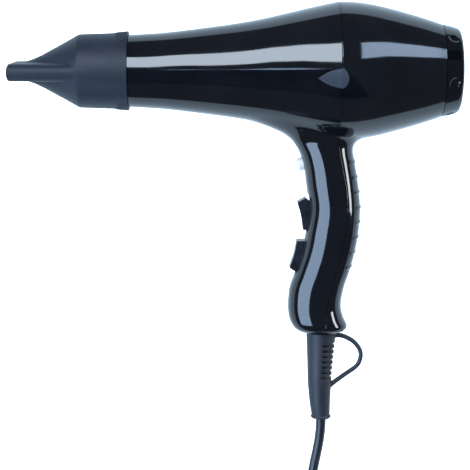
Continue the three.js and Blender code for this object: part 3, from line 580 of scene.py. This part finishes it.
def matte_black():
    """Spark-eroded dark blue-black plastic with a fine even grain."""
    n = Nodes("matte_black")
    grain = n.noise(2400, 3, 0.6)
    cloud = n.noise(60, 3)
    colour = n.blend(cloud, (0.0035, 0.006, 0.0115), (0.0055, 0.009, 0.016))
    normal = n.bump(grain, 0.35, 0.00008)
    return n.finish(colour, n.remap(cloud, 0.46, 0.56), normal, IOR=1.37)


def satin_black():
    """The rockers and collars: a dark fine-textured plastic, worn a little smoother in places."""
    n = Nodes("satin_black")
    grain = n.noise(3200, 2)
    wear = n.noise(120, 3)
    colour = n.blend(wear, (0.002, 0.003, 0.005), (0.004, 0.005, 0.008))
    return n.finish(colour, n.remap(wear, 0.22, 0.36), n.bump(grain, 0.25, 0.00004), IOR=1.38)


def rubber(name, dark, light, roughness):
    n = Nodes(name)
    dust = n.noise(140, 4, 0.6)
    skin = n.bump(n.noise(1800, 3), 0.3, 0.00012)
    low, high = roughness
    return n.finish(n.blend(dust, dark, light), n.remap(dust, low, high), skin, IOR=1.44)


def plastic(name, dark, light, roughness, grain=1500):
    """Moulded plastic with a slight mottle and a fine grain."""
    n = Nodes(name)
    mottle = n.noise(90, 4)
    low, high = roughness
    skin = n.bump(n.noise(grain, 2), 0.25, 0.00006)
    return n.finish(n.blend(mottle, dark, light), n.remap(mottle, low, high), skin)


def frosted_white():
    n = Nodes("frosted_white")
    mottle = n.noise(200, 3)
    skin = n.bump(n.noise(2500, 2), 0.3, 0.00006)
    colour = n.blend(mottle, (0.39, 0.375, 0.37), (0.44, 0.425, 0.42))
    return n.finish(colour, n.remap(mottle, 0.28, 0.4), skin, Subsurface_Weight=0.3, Subsurface_Scale=0.002)


def badge_grey():
    """A satin inlay with a fine brushed grain along the barrel."""
    n = Nodes("badge_grey")
    along = n.add("ShaderNodeMapping", {"Vector": n.place, "Scale": (0.05, 1, 1)})
    brushed = n.noise(3500, 2, place=along)
    cloud = n.noise(160, 2)
    colour = n.blend(cloud, (0.016, 0.022, 0.032), (0.021, 0.028, 0.04))
    return n.finish(colour, n.remap(brushed, 0.3, 0.42), n.bump(brushed, 0.15, 0.00004), Metallic=0.2)


def metal(name, dark, light, roughness):
    """Drawn or turned metal: streaks, light stains and fine scratches."""
    n = Nodes(name)
    streaks = n.noise(2500, 3, place=n.add("ShaderNodeMapping", {"Vector": n.place, "Scale": (0.08, 1, 1)}))
    stain = n.noise(110, 5)
    low, high = roughness
    normal = n.bump(streaks, 0.2, 0.00005)
    return n.finish(n.blend(stain, dark, light), n.remap(streaks, low, high), normal, Metallic=1.0)


def mica():
    n = Nodes("mica")
    layers = n.noise(220, 6, 0.65)
    colour = n.blend(layers, (0.42, 0.36, 0.26), (0.66, 0.6, 0.47))
    return n.finish(colour, n.remap(layers, 0.35, 0.7), n.bump(layers, 0.4, 0.0002), Coat_Weight=0.3)


# Darker colour, lighter colour and range of roughness, then the grain where it isn't the usual one
PLASTICS = {
    "plug_plastic": ((0.012, 0.013, 0.016), (0.02, 0.022, 0.026), (0.3, 0.45)),
    "inner_plastic": ((0.035, 0.038, 0.043), (0.055, 0.058, 0.064), (0.4, 0.6)),
    "magnet": ((0.02, 0.02, 0.022), (0.045, 0.045, 0.048), (0.6, 0.85), 900),
    "lead_brown": ((0.1, 0.04, 0.018), (0.16, 0.07, 0.03), (0.35, 0.5)),
    "lead_blue": ((0.02, 0.09, 0.3), (0.04, 0.14, 0.42), (0.35, 0.5)),
    "lead_white": ((0.6, 0.59, 0.55), (0.74, 0.73, 0.7), (0.35, 0.5)),
}
RUBBERS = {
    "rubber": ((0.0028, 0.0045, 0.0085), (0.0045, 0.007, 0.0125), (0.45, 0.58)),
    "cord_jacket": ((0.003, 0.004, 0.007), (0.005, 0.007, 0.011), (0.3, 0.42)),
}
METALS = {
    "steel": ((0.42, 0.43, 0.45), (0.6, 0.61, 0.63), (0.22, 0.42)),
    "plated_pin": ((0.62, 0.61, 0.58), (0.78, 0.77, 0.74), (0.12, 0.26)),
    "brass": ((0.5, 0.34, 0.12), (0.68, 0.49, 0.2), (0.2, 0.4)),
    "copper": ((0.45, 0.18, 0.08), (0.65, 0.3, 0.15), (0.22, 0.45)),
    "heat_wire": ((0.16, 0.14, 0.12), (0.34, 0.31, 0.28), (0.3, 0.55)),
}
MATERIALS = {
    "gloss_black": gloss_black(), "matte_black": matte_black(), "satin_black": satin_black(),
    "inlay_grey": badge_grey(), "clear_white": frosted_white(), "mica": mica(),
}
for make, kinds in ((plastic, PLASTICS), (rubber, RUBBERS), (metal, METALS)):
    MATERIALS.update({name: make(name, *values) for name, values in kinds.items()})


def dress(obj, body, slot, replaces=(), look=None):
    """Puts a finished piece on its body, gives it the material of its slot or of look, and hides the CAD
    nodes that it stands for.
    """
    obj.data.materials.clear()
    obj.data.materials.append(MATERIALS[look or slot])
    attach(obj, body)
    if replaces:
        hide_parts(*replaces)
    return obj


# -------- cord


def coil_knots():
    """The coil as (angle, radius, height) knots, wound clockwise from its right side in three layers.

    A step to the next radius takes 120 degrees and a climb to the next layer 140.
    """
    low, middle, top = COIL_LAYERS
    knots = []

    def wind(start, radii, z, hold):
        """Turns at each radius in order, with a step of 120 degrees between two of them."""
        angle = start
        for i, radius in enumerate(radii):
            knots.append((angle, radius, z))
            angle += hold
            if i + 1 < len(radii):
                knots.append((angle, radius, z))
                angle += 120

    wind(0, COIL_RADII, low, 240)
    knots.append((1140, COIL_RADII[-1], low))
    knots.append((1280, COIL_RADII[-1], middle))
    knots.append((1360, COIL_RADII[-1], middle))
    wind(1480, COIL_RADII[-2::-1], middle, 240)
    knots.append((2300, COIL_RADII[0], middle))
    knots.append((2440, COIL_RADII[0], top))
    knots.append((2520, COIL_RADII[0], top))
    wind(2640, COIL_RADII[1:], top, 240)
    return knots


# The last stretch leaves the innermost turn: the angles of its start, climb and end, how far it
# moves out and up, and the angle that its climb takes
TAIL_START, TAIL_CLIMB, TAIL_END = 3530, 3480, 3643
TAIL_OUT, TAIL_LIFT, TAIL_RISE = 7.1, 7.6, 145


def coil_points(step=15):
    angle, radius, height = np.array(coil_knots()).T
    points = []
    for a in np.arange(step, TAIL_END, step):
        i = min(np.searchsorted(angle, a, side="right"), len(angle) - 1)
        t = smooth_step((a - angle[i - 1]) / (angle[i] - angle[i - 1]))
        r = radius[i - 1] + (radius[i] - radius[i - 1]) * t
        z = height[i - 1] + (height[i] - height[i - 1]) * t
        r += TAIL_OUT * smooth_step((a - TAIL_START) / (TAIL_END - TAIL_START))
        z += TAIL_LIFT * smooth_step((a - TAIL_CLIMB) / TAIL_RISE)
        rad = math.radians(a)
        points.append((COIL["x"] + r * math.cos(rad), COIL["y"] - r * math.sin(rad), z))
    return points


def add_cord():
    tail = [(COIL["x"] + x, COIL["y"] + y, z) for x, y, z in TAIL_ROUTE]
    route = [TABLE @ Vector(p) for p in [*CORD_ROUTE, *coil_points(), *tail]]
    curve = bpy.data.curves.new("mains_cord", "CURVE")
    curve.dimensions = "3D"
    curve.bevel_depth = CORD / 2 * MM
    curve.bevel_resolution = 5
    curve.resolution_u = 4
    curve.use_fill_caps = True
    line = curve.splines.new("BEZIER")
    line.bezier_points.add(len(route) - 1)
    for point, place in zip(line.bezier_points, route):
        point.co = place
        point.handle_left_type = point.handle_right_type = "AUTO"
    cord = add_object("mains_cord", curve)
    dress(cord, "housing", "cord_jacket", ["cord_run", "cord_coil", "cord_tail"])
    plug = add_plug()
    pins = [add_pin(side) for side in (1, -1)]
    tie = add_tie()


def plug_place(x, y, z):
    """The place of a point of the plug, which lies on the coil."""
    return TABLE @ Matrix.Translation((COIL["x"] + PLUG["x"] + x, COIL["y"] + PLUG["y"] + y, PLUG["z"] + z))


def add_plug():
    points, quads = moulded(plug_field, (-58, -15, -10), (2, 15, 10), 0.8)
    plug = mesh_object("plug", points, quads)
    dress(plug, "housing", "plug_plastic", ["plug_body"])
    return field_normals(plug, plug_field, plug_place(0, 0, 0))


def add_pin(side):
    """A round plug pin with a domed tip."""
    name, node = ("plug_pin_a", "plug_pin_left") if side > 0 else ("plug_pin_b", "plug_pin_right")
    radius = PIN["radius"]
    tip = []
    for t in np.linspace(0.05, math.pi / 2, 8):
        tip.append((PIN["tip_x"] + radius * (1 - math.cos(t)) * 0.8, radius * math.sin(t)))
    pin = sharpen(turned(name, [*tip, (PIN["root_x"], radius)], 32))
    moved(pin, plug_place(0, side * PIN["offset"], 0))
    return dress(pin, "housing", "plated_pin", [node])


def add_tie():
    """The strap round one side of the coil: a closed band with round corners."""
    reach = 1.3
    low, high = COIL["inner"] - 1 - reach, COIL["outer"] + 0.5 + reach
    bottom, top = COIL["z0"] - reach, COIL["z1"] + reach
    outer = rounded_rectangle((high - low) / 2, (top - bottom) / 2, 4.5)
    inner = rounded_rectangle((high - low) / 2 - 1, (top - bottom) / 2 - 1, 3.5)
    strap = prism("cord_strap", outer, -6, 6)
    cut(strap, prism("strap_hole", inner, -7, 7))
    upright = Matrix(((1, 0, 0, 0), (0, 0, -1, 0), (0, 1, 0, 0), (0, 0, 0, 1)))
    middle = Matrix.Translation(((low + high) / 2, 0, (bottom + top) / 2))
    place = TABLE @ Matrix.Translation((COIL["x"], COIL["y"], 0)) @ Matrix.Rotation(math.radians(150), 4, "Z")
    moved(strap, place @ middle @ upright)
    bevel(sharpen(strap), 0.25 * MM)
    return dress(strap, "housing", "matte_black", ["cord_tie"])


# -------- housings

SEAM_ROWS = (-0.55, -0.38, -0.2, 0.2, 0.38, 0.55)
SEAM_CHAMFER = 0.1


def housing_skin():
    """The closed outer skin, with rows of edges down both sides of the seam and a small chamfer."""
    points, quads = moulded(housing_field, (-152, -190, -50), (80, 50, 50), 1.0)
    skin = mesh_object("housing_skin", points, quads)
    bm = bmesh.new()
    bm.from_mesh(skin.data)
    for v in bm.verts:
        v.co.x -= float(seam_x(v.co.y))
    for x in SEAM_ROWS:
        near = [f for f in bm.faces if min(abs(v.co.x) for v in f.verts) < 2]
        geometry = list({e for f in near for e in f.edges}) + list({v for f in near for v in f.verts}) + near
        bmesh.ops.bisect_plane(bm, geom=geometry, dist=1e-5, plane_co=(x, 0, 0), plane_no=(1, 0, 0))
    for v in bm.verts:
        v.co.x += float(seam_x(v.co.y))
    bmesh.ops.triangulate(bm, faces=[f for f in bm.faces if len(f.verts) > 4])
    bm.to_mesh(skin.data)
    bm.free()
    places = vertex_places(skin.data)
    slope = outward(housing_field, places)
    places -= slope * housing_field(*places.T)[:, None]
    off_seam = np.abs(places[:, 0] - seam_x(places[:, 1]))
    depth = SEAM_CHAMFER * smooth_step((0.5 - off_seam) / 0.3)
    places -= slope * depth[:, None]
    skin.data.vertices.foreach_set("co", places.ravel())
    return skin


def handle_ring(y, inset, sides=24):
    angle = 2 * np.pi * np.arange(sides) / sides
    c, s = np.cos(angle), np.sin(angle)
    front, rear, half = handle_front(y) + inset, handle_rear(y) - inset, handle_half(y) - inset
    x = (front + rear) / 2 + (rear - front) / 2 * np.sign(c) * np.abs(c) ** (2 / HANDLE_POWER)
    return np.stack([x, np.full(sides, y), half * np.sign(s) * np.abs(s) ** (2 / HANDLE_POWER)], 1)


def hollow_of_handle():
    """The handle's inside, which tapers a little at its closed end."""
    heights = [-30, *range(-40, -176, -9), -178]
    rings = [handle_ring(y, WALL + 0.2) for y in heights]
    end = rings[-1] * (0.88, 0, 0.88) + (-11 * 0.12, HANDLE_FLOOR_Y, 0)
    return rings_object("handle_hollow", [*rings, end])


def hollow_of_barrel():
    """The barrel's inside, which narrows to the spigot's bore and is open at the rear."""
    inner = [(x, r - WALL) for x, r in barrel_line[::4] if -138 < x < REAR_X]
    bore, rear = SPIGOT["bore"], float(barrel_radius(REAR_X)) - WALL
    front = [(-170, 0.01), (-170, bore), (-142, bore)]
    return turned("barrel_hollow", [*front, *inner, (REAR_X, rear), (90, rear), (90, 0.01)], 64)


def shield_outline(margin):
    """A shield with its point towards the nozzle and a shallow arc over the seam, round the origin."""
    turn = math.radians(BADGE["corner"])
    arc = BADGE["arc_radius"] + margin
    corner_x, corner_y = BADGE["arc_x"] + arc * math.cos(turn), arc * math.sin(turn)
    side = []
    for t in np.linspace(0, 1, 14, endpoint=False):
        a, b, c = (1 - t) ** 2, 2 * t * (1 - t), t * t
        x = a * (BADGE["point"] - margin) + b * -8 + c * corner_x
        side.append((x, b * (corner_y - 0.4) + c * corner_y))
    cap = [(BADGE["arc_x"] + arc * math.cos(t), arc * math.sin(t)) for t in np.linspace(turn, -turn, 20)]
    outline = [*side, *cap, *[(x, -y) for x, y in reversed(side[1:])]]
    return [(x, y + BADGE["y"]) for x, y in outline]


def badge_layer(name, bottom, top, margin):
    """The layer between two depths of the barrel's skin, inside the shield outline."""
    skin = np.array([(x, r) for x, r in barrel_line if abs(x) < 32])
    layers = []
    for depth in (top, bottom):
        profile = [(skin[0, 0], 0.01), *(skin + (0, depth)), (skin[-1, 0], 0.01)]
        layers.append(turned(name, profile, 720))
    cut(*layers)
    return boolean(layers[0], prism("badge_outline", shield_outline(margin), 30, 60), "INTERSECT")


def seam_half(side):
    """Everything in front of the seam, or behind it, less half of the gap."""
    line = [(x + side * GAP / 2, y) for x, y in seam_line if -189.9 < y < 59.9]
    outline = [(side * 400, 90), (line[0][0], 90), *line, (line[-1][0], -195), (side * 400, -195)]
    return prism("seam_half", outline, -90, 90)


def block(name, half_y, half_z, corner, x0, x1):
    """A block along X with round corners."""
    return moved(prism(name, rounded_rectangle(half_y, half_z, corner), x0, x1), ALONG_X)


def slab(name, low, high):
    """A box between two corners, made as a prism."""
    outline = [(low[0], low[1]), (high[0], low[1]), (high[0], high[1]), (low[0], high[1])]
    return prism(name, outline, low[2], high[2])


def in_switch(obj, place):
    """Moves a tool from a switch's frame into the dryer's."""
    return moved(obj, DRYER.inverted() @ switch_frame(place))


def on_relief_axis(obj):
    """Turns a piece made along X to lie along the strain relief."""
    return moved(moved(obj, Matrix.Rotation(math.pi / 2, 4, "Z")), Matrix.Translation((RELIEF["x"], 0, 0)))


def front_half(shell):
    """The spigot that the nozzle pushes on to, and the openings for the switches and the button."""
    cut(shell, slab("front_end", (-170, -60, -60), (FRONT_X, 60, 60)))
    x, radius, bore = SPIGOT["x0"], SPIGOT["radius"], SPIGOT["bore"]
    spigot = [(x, bore), (x, radius - 0.5), (x + 0.5, radius), (FRONT_X + 1.5, radius), (FRONT_X + 1.5, bore)]
    join(shell, turned("spigot", spigot, 128, closed=True))
    for place in (SPEED_SWITCH, HEAT_SWITCH):
        cut(shell, in_switch(block("switch_hole", 13.6, 7.2, 1.6, -8, 20), place))
    cut(shell, in_switch(turned("button_hole", [(-8, 5), (12, 5)], 48), COOL_SHOT))


def rear_half(shell):
    """The opening for the filter cap, the latch notch under it and the handle screw's hole."""
    cut(shell, slab("rear_end", (REAR_X, -60, -60), (120, 60, 60)))
    upright = Matrix.Translation((42.5, 0, 0)) @ Matrix.Rotation(-math.pi / 2, 4, "X")
    cut(shell, moved(prism("latch", rounded_rectangle(5.5, 5, 1.2), -44, -39.8), upright))
    screw_hole = turned("screw_hole", [(0.2, 3.4), (20, 3.4)], 40)
    cut(shell, moved(screw_hole, Matrix.Translation((0, -152.5, 0))))


def add_housings():
    """One skin is hollowed, then parted at the seam into the front and rear shells."""
    skin = housing_skin()
    boolean(skin, slab("handle_end", (-200, HANDLE_END_Y, -60), (120, 60, 60)), "INTERSECT")
    cut(skin, hollow_of_barrel(), hollow_of_handle(), badge_layer("badge_recess", -1.2, 2, 0.12))
    cut(skin, on_relief_axis(turned("relief_hole", [(-195, 9), (-175, 9)], 48)))
    halves = (("front_shell", -1, front_half, "front_housing"), ("rear_shell", 1, rear_half, "rear_housing"))
    for name, side, finish, node in halves:
        shell = add_object(name, skin.data.copy())
        boolean(shell, seam_half(side), "INTERSECT")
        finish(shell)
        field_normals(shell, housing_field, DRYER)
        dress(shell, "housing", "gloss_black", [node])
    bpy.data.objects.remove(skin)
    badge = badge_layer("badge_inlay", -1.0, -0.05, -0.05)
    moved(badge, DRYER)
    bevel(sharpen(badge, 30), 0.15 * MM, 2)
    dress(badge, "housing", "inlay_grey", ["badge"])


# -------- nozzle


def collar_pad(angle):
    """A raised pad on the nozzle's collar: a ramp with fine ribs along the barrel."""
    half = COLLAR_PAD["half_angle"]
    steps = COLLAR_PAD["ribs"] * 8
    t = np.linspace(-1, 1, steps + 1)
    rib = 0.28 * (0.5 + 0.5 * np.cos(np.pi * t * COLLAR_PAD["ribs"]))
    edge = smooth_step((1 - np.abs(t)) / 0.05)
    turn = np.radians(angle + half * t)
    rings = []
    for x in np.linspace(COLLAR_PAD["x0"], COLLAR_PAD["x1"], 10):
        along = (x - COLLAR_PAD["x0"]) / (COLLAR_PAD["x1"] - COLLAR_PAD["x0"])
        rise = smooth_step(along * 2.2 - 0.5 * np.abs(t) ** 2)
        high = COLLAR_PAD["low"] + (COLLAR_PAD["high"] - COLLAR_PAD["low"]) * along
        radius = 25.2 + (high - rib - 25.2) * edge * rise
        top = np.stack([np.full(steps + 1, x), radius * np.cos(turn), radius * np.sin(turn)], 1)
        under = np.stack([np.full(steps + 1, x), 24.7 * np.cos(turn), 24.7 * np.sin(turn)], 1)
        rings.append(np.vstack([top, under[::-1]]))
    return rings_object("collar_pad", rings)


def add_nozzle():
    points, quads = moulded(nozzle_field, (-230, -28, -28), (-138, 28, 28), 0.75)
    nozzle = mesh_object("concentrator", points, quads)
    cut(nozzle, slab("nozzle_end", (NOZZLE_END_X, -40, -40), (-100, 40, 40)))
    join(nozzle, collar_pad(0), collar_pad(180))
    bore = [(-138, 0.01), *NOZZLE_BORE, (NOZZLE_BORE[-1][0], 0.01)]
    inside = [DUCT[size] - DUCT["wall"] for size in ("half_height", "half_width", "corner")]
    passage = rounded_rectangle(*inside, 8)
    cut(nozzle, turned("nozzle_bore", bore, 96))
    cut(nozzle, moved(prism("passage", passage, DUCT["x0"] - 2, -172), ALONG_X))
    cut(nozzle, turned("clip_groove", [(-151, 23), (-151, 25), (-149.4, 25), (-149.4, 23)], 96, closed=True))
    field_normals(nozzle, nozzle_field, DRYER)
    dress(nozzle, "nozzle", "matte_black", ["nozzle"])


# -------- rear cap


def add_rear_cap():
    profile = [*CAP_CORE, (71.3, 31.5), *spline(CAP_SKIN, 5), (82.3, 24.4), (82.3, 27)]
    cap = turned("rear_cap", profile, 192, closed=True)
    radius, depth = CAP_DIMPLE["radius"], CAP_DIMPLE["depth"]
    ball = (radius**2 + depth**2) / (2 * depth)
    for i in range(CAP_DIMPLE["count"]):
        a = math.radians(CAP_DIMPLE["turn"] + 360 / CAP_DIMPLE["count"] * i)
        lift = CAP_DIMPLE["cap_radius"] - depth + ball
        arc = [(ball * math.cos(t), max(ball * math.sin(t), 0.001)) for t in np.linspace(math.pi, 0, 60)]
        place = Matrix.Translation((CAP_DIMPLE["x"] + 0.24 * ball, lift * math.sin(a), lift * math.cos(a)))
        cut(cap, moved(turned("dimple", arc, 96), place))
    moved(cap, DRYER)
    sharpen(cap, 24)
    dress(cap, "filter_cap", "gloss_black", ["filter_cap"])
    add_rear_grille()
    add_filter_mesh()


GUARD_X = 81.2  # the middle of the guard's bars
SPOKES = 6


def add_rear_grille():
    """The finger guard: a hub, round bars in rings, and spokes."""
    guard = turned("rear_guard", [(80.4, 0.01), (80.4, 6.6), (80.8, 7), (81.5, 7), (82, 6.4), (82, 0.01)], 64)
    join(guard, turned("guard_rim", [(80.4, 24.4), (80.4, 26.7), (82, 26.7), (82, 24.4)], 128, closed=True))
    for radius in np.arange(10.0, 24, 2.9):
        turn = np.arange(12) * math.pi / 6
        section = np.column_stack([GUARD_X + 0.75 * np.cos(turn), radius + 0.8 * np.sin(turn)])
        join(guard, turned("guard_bar", section, 96, closed=True))
    for i in range(SPOKES):
        spoke = prism("spoke", rounded_rectangle(0.75, 0.9, 0.4, 3), 5, 25.5)
        moved(spoke, Matrix.Translation((GUARD_X, 0, 0)))
        join(guard, moved(spoke, Matrix.Rotation(math.radians(360 / SPOKES * i), 4, "X")))
    moved(guard, DRYER)
    sharpen(guard, 40)
    dress(guard, "filter_cartridge", "inner_plastic", ["rear_grille"])


def add_filter_mesh():
    """Woven steel gauze in a thin rim. Its wires are square, and each is waved over the others."""
    gauze_x, pitch, wire, reach = 77.4, 1.6, 0.17, 26.0
    points, faces = [], []
    for across in (0, 1):
        for k, offset in enumerate(np.arange(-24.8, 24.9, pitch)):
            half = math.sqrt(reach**2 - offset**2)
            run = np.linspace(-half, half, int(4 * half / pitch) + 2)
            n = len(run)
            base = sum(len(p) for p in points)
            wave = wire * np.cos(np.pi * (run / pitch + k + across))
            for corner in range(4):
                t = math.pi / 2 * corner
                side = np.full(n, offset + wire * math.cos(t))
                depth = gauze_x + wave + wire * math.sin(t)
                points.append(np.stack((depth, run, side) if across else (depth, side, run), 1))
            for corner in range(4):
                a, b = base + corner * n, base + ((corner + 1) % 4) * n
                faces += [(a + i, a + i + 1, b + i + 1, b + i) for i in range(n - 1)]
            faces += [(base, base + n, base + 2 * n, base + 3 * n)]
            faces += [(base + 4 * n - 1, base + 3 * n - 1, base + 2 * n - 1, base + n - 1)]
    gauze = mesh_object("filter_gauze", np.vstack(points), faces)
    rim = turned("gauze_rim", [(77, 25.4), (77, 26.6), (77.8, 26.6), (77.8, 25.4)], 96, closed=True)
    bm = bmesh.new()
    bm.from_mesh(gauze.data)
    bm.from_mesh(rim.data)
    bm.to_mesh(gauze.data)
    bm.free()
    bpy.data.objects.remove(rim)
    moved(gauze, DRYER)
    sharpen(gauze, 50)
    dress(gauze, "filter_cartridge", "steel", ["filter_mesh"])


# -------- switches

ROCKER_FACE = [(8.4, -10), (8.8, -9.2), (8.4, -4.5), (8.2, 0), (8.4, 4.5), (8.8, 9.2), (8.4, 10)]
ROCKER_HALF_WIDTH = 5.4


def add_rocker(name, place, body):
    """A rocker with a hollowed face, held at its resting angle by the switch."""
    outline = [(-2.5, -4), (2.6, -11.8), *spline(ROCKER_FACE, 6), (2.6, 11.8), (-2.5, 4)]
    rocker = prism(name, outline, -ROCKER_HALF_WIDTH, ROCKER_HALF_WIDTH)
    moved(rocker, switch_frame(place) @ Matrix.Rotation(math.radians(place["rest"]), 4, "Z"))
    bevel(sharpen(rocker, 30), 0.5 * MM, 4, 40)
    dress(rocker, body, "matte_black", [body], "satin_black")


def add_switch_body(name, place, node):
    """The switch's box and the collar that lines the slot in the handle."""
    collar = block(name, 13.3, 6.9, 1.5, -3, place["rim"])
    join(collar, block("box", 12.9, 8.5, 1, -15, -2.4))
    cut(collar, block("pocket", 12.5, 5.9, 1.2, -4.4, 20))
    moved(collar, switch_frame(place))
    bevel(sharpen(collar, 30), 0.3 * MM, 3, 40)
    dress(collar, "housing", "matte_black", [node], "satin_black")


def add_button():
    """The cool-shot button: a frosted dome on a flanged stem."""
    dome = [(1.6 + 3 * math.sin(t), 4.6 * math.cos(t) ** 0.6) for t in np.linspace(0, 1.5, 16)]
    profile = [(-9, 0.01), (-9, 2), (-5.2, 2), (-5.2, 6.2), (-3.7, 6.2), (-3.7, 4.6), *dome, (4.6, 0.01)]
    button = sharpen(moved(turned("cool_button", profile, 64), switch_frame(COOL_SHOT)), 30)
    dress(button, "cool_shot_button", "clear_white", ["cool_shot_button"])


def add_switches():
    add_rocker("speed_key", SPEED_SWITCH, "speed_rocker")
    add_rocker("heat_key", HEAT_SWITCH, "heat_rocker")
    add_switch_body("speed_collar", SPEED_SWITCH, "speed_switch")
    add_switch_body("heat_collar", HEAT_SWITCH, "heat_switch")
    add_button()


def add_relief():
    """The strain relief with its hanging loop, and the neck that holds it in the handle."""
    points, quads = moulded(relief_field, (-22, -250, -12), (20, -178, 12), 0.6)
    sleeve = mesh_object("cord_sleeve", points, quads)
    cut(sleeve, slab("sleeve_top", (-40, RELIEF["top"], -20), (40, -150, 20)))
    neck = [(-186, 8.7), (-181.3, 8.7), (-181.3, 11.2), (-179.2, 11.2), (-179.2, 0.01), (-186, 0.01)]
    join(sleeve, on_relief_axis(turned("sleeve_neck", neck, 64, closed=True)))
    field_normals(sleeve, relief_field, DRYER)
    dress(sleeve, "housing", "rubber", ["strain_relief", "hang_loop"])


# -------- carried-over CAD nodes

CAD_LOOKS = {
    "steel": ["nozzle_clip", "outlet_grille", "motor_can", "motor_shaft", "thermostat", "thermal_fuse",
              "housing_screw_upper", "housing_screw_lower", "handle_screw", "clamp_screw_upper",
              "clamp_screw_lower"],
    "inner_plastic": ["fan_duct", "motor_end_bell", "fan", "cool_shot_switch", "cable_clamp"],
    "magnet": ["magnet_left", "magnet_right", "brush_upper", "brush_lower"],
    "brass": ["bearing_front", "bearing_rear"],
    "copper": ["armature", "commutator"],
    "mica": ["mica_tube", "heater_frame"],
    "heat_wire": ["heating_coil_front", "heating_coil_rear"],
    "cord_jacket": ["cable_end"],
    "lead_brown": ["lead_live"],
    "lead_blue": ["lead_neutral"],
    "lead_white": ["lead_heater"],
}


def dress_cad_nodes():
    for look, names in CAD_LOOKS.items():
        for name in names:
            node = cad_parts[name]
            for slot in node.material_slots:
                slot.material = MATERIALS[look]


# -------- floor and light


def stage_quad(name, corners):
    """A flat card of the set, with its corners in metres from the barrel axis at the seam."""
    places = [axis_point + Vector(corner) for corner in corners]
    card = mesh_object(name, places, [(0, 1, 2, 3)], smooth=False)
    return card


FLOOR_HALF = 3.0


def add_floor():
    """A pale floor that the polished pieces don't mirror, so that the table card is seen instead."""
    low, high = cad_box
    middle = (low + high) / 2 - axis_point
    ground = low.z - axis_point.z
    corners = []
    for a, b in ((-1, -1), (1, -1), (1, 1), (-1, 1)):
        corners.append((middle.x + a * FLOOR_HALF, middle.y + b * FLOOR_HALF, ground))
    floor = stage_quad("floor", corners)
    floor.visible_glossy = False
    n = Nodes("floor")
    tone = n.blend(n.noise(6, 3), (0.86, 0.87, 0.885), (0.88, 0.885, 0.9))
    glow = {"Emission_Color": (0.94, 0.98, 1, 1), "Emission_Strength": 0.6}
    floor.data.materials.append(n.finish(tone, 0.75, **glow))


# Light cards: brightness, colour and corners. The table card is the lit table top that the polished
# housing mirrors, and the side flag is black and keeps the side light off the barrel.
CARDS = {
    "front_card": (12.0, (0.86, 1, 1.16), [
        (-0.3, 0.08, 1.3), (-0.87, 0.5, 1.3), (-0.9, 1.44, 1.3), (-0.3, 0.88, 1.3),
    ]),
    "rear_card": (7.2, (0.76, 1, 1.36), [
        (0.4, 1.01, 1.17), (1.115, 1.048, 0.703), (1.143, 0.561, 0.999), (0.45, 0.385, 1.56),
    ]),
    "left_card": (6.8, (0.73, 1, 1.4), [
        (-0.28, -0.06, 0.87), (-0.22, -0.6, 0.8), (-0.8, -0.78, 0.32), (-0.95, 0.25, 0.32),
    ]),
    "right_card": (16.0, (0.95, 1, 1.04), [
        (0.62, -0.26, 0.19), (0.62, 0.1, 0.19), (0.62, 0.1, 0.35), (0.62, -0.26, 0.35),
    ]),
    "table_card": (1.35, (0.76, 1, 1.24), [
        (-0.9, -0.42, -0.047), (0.9, -0.42, -0.047), (0.9, 0.36, -0.047), (-0.9, 0.36, -0.047),
    ]),
    "side_flag": (0.0, (1, 1, 1), [
        (-0.9, -0.047, 0.06), (0.03, -0.047, 0.06), (0.03, -0.047, 0.95), (-0.9, -0.047, 0.95),
    ]),
}
GLOSSY_ONLY = ("table_card", "side_flag")
OFF_THE_CAP = ("rear_card", "right_card")


def add_cards():
    """The light cards. Two of them are flagged off the filter cap by light linking."""
    unlit = bpy.data.collections.new("off_the_cap")
    unlit.objects.link(bpy.data.objects["rear_cap"])
    unlit.collection_objects[0].light_linking.link_state = "EXCLUDE"
    for name, (strength, colour, corners) in CARDS.items():
        card = stage_quad(name, corners)
        card.visible_camera = False
        card.visible_shadow = False
        card.visible_diffuse = name not in GLOSSY_ONLY
        n = Nodes(name)
        n.tree.nodes.remove(n.shader)
        glow = n.add("ShaderNodeEmission", {"Color": (*colour, 1), "Strength": strength})
        n.tree.links.new(glow, n.tree.nodes["Material Output"].inputs["Surface"])
        card.data.materials.append(n.material)
        if name in OFF_THE_CAP:
            card.light_linking.receiver_collection = unlit


# The room's brightness from the handle's side and from beyond the barrel, and as gloss mirrors it
SKY = {"handle_side": 0.6, "far_side": 1.6, "mirrored": 0.12}


def add_sky():
    """Soft room light, brighter from beyond the barrel, and a darker room for gloss to mirror."""
    world = bpy.data.worlds.new("studio")
    bpy.context.scene.world = world
    world.use_nodes = True
    tree = world.node_tree
    new, link = tree.nodes.new, tree.links.new
    way = new("ShaderNodeSeparateXYZ")
    link(new("ShaderNodeTexCoord").outputs["Generated"], way.inputs[0])
    room = new("ShaderNodeMapRange")
    link(way.outputs["Y"], room.inputs["Value"])
    room.inputs["From Min"].default_value = -1
    room.inputs["To Min"].default_value = SKY["handle_side"]
    room.inputs["To Max"].default_value = SKY["far_side"]
    level = new("ShaderNodeMapRange")
    link(new("ShaderNodeLightPath").outputs["Is Glossy Ray"], level.inputs["Value"])
    link(room.outputs["Result"], level.inputs["To Min"])
    level.inputs["To Max"].default_value = SKY["mirrored"]
    background = tree.nodes["Background"]
    background.inputs["Color"].default_value = (0.93, 0.98, 1.06, 1)
    link(level.outputs["Result"], background.inputs["Strength"])
    bpy.context.scene.view_settings.view_transform = "Standard"


# -------- assembly

add_camera()
add_cord()
add_housings()
add_nozzle()
add_rear_cap()
add_switches()
add_relief()
dress_cad_nodes()
add_floor()
add_cards()
add_sky()
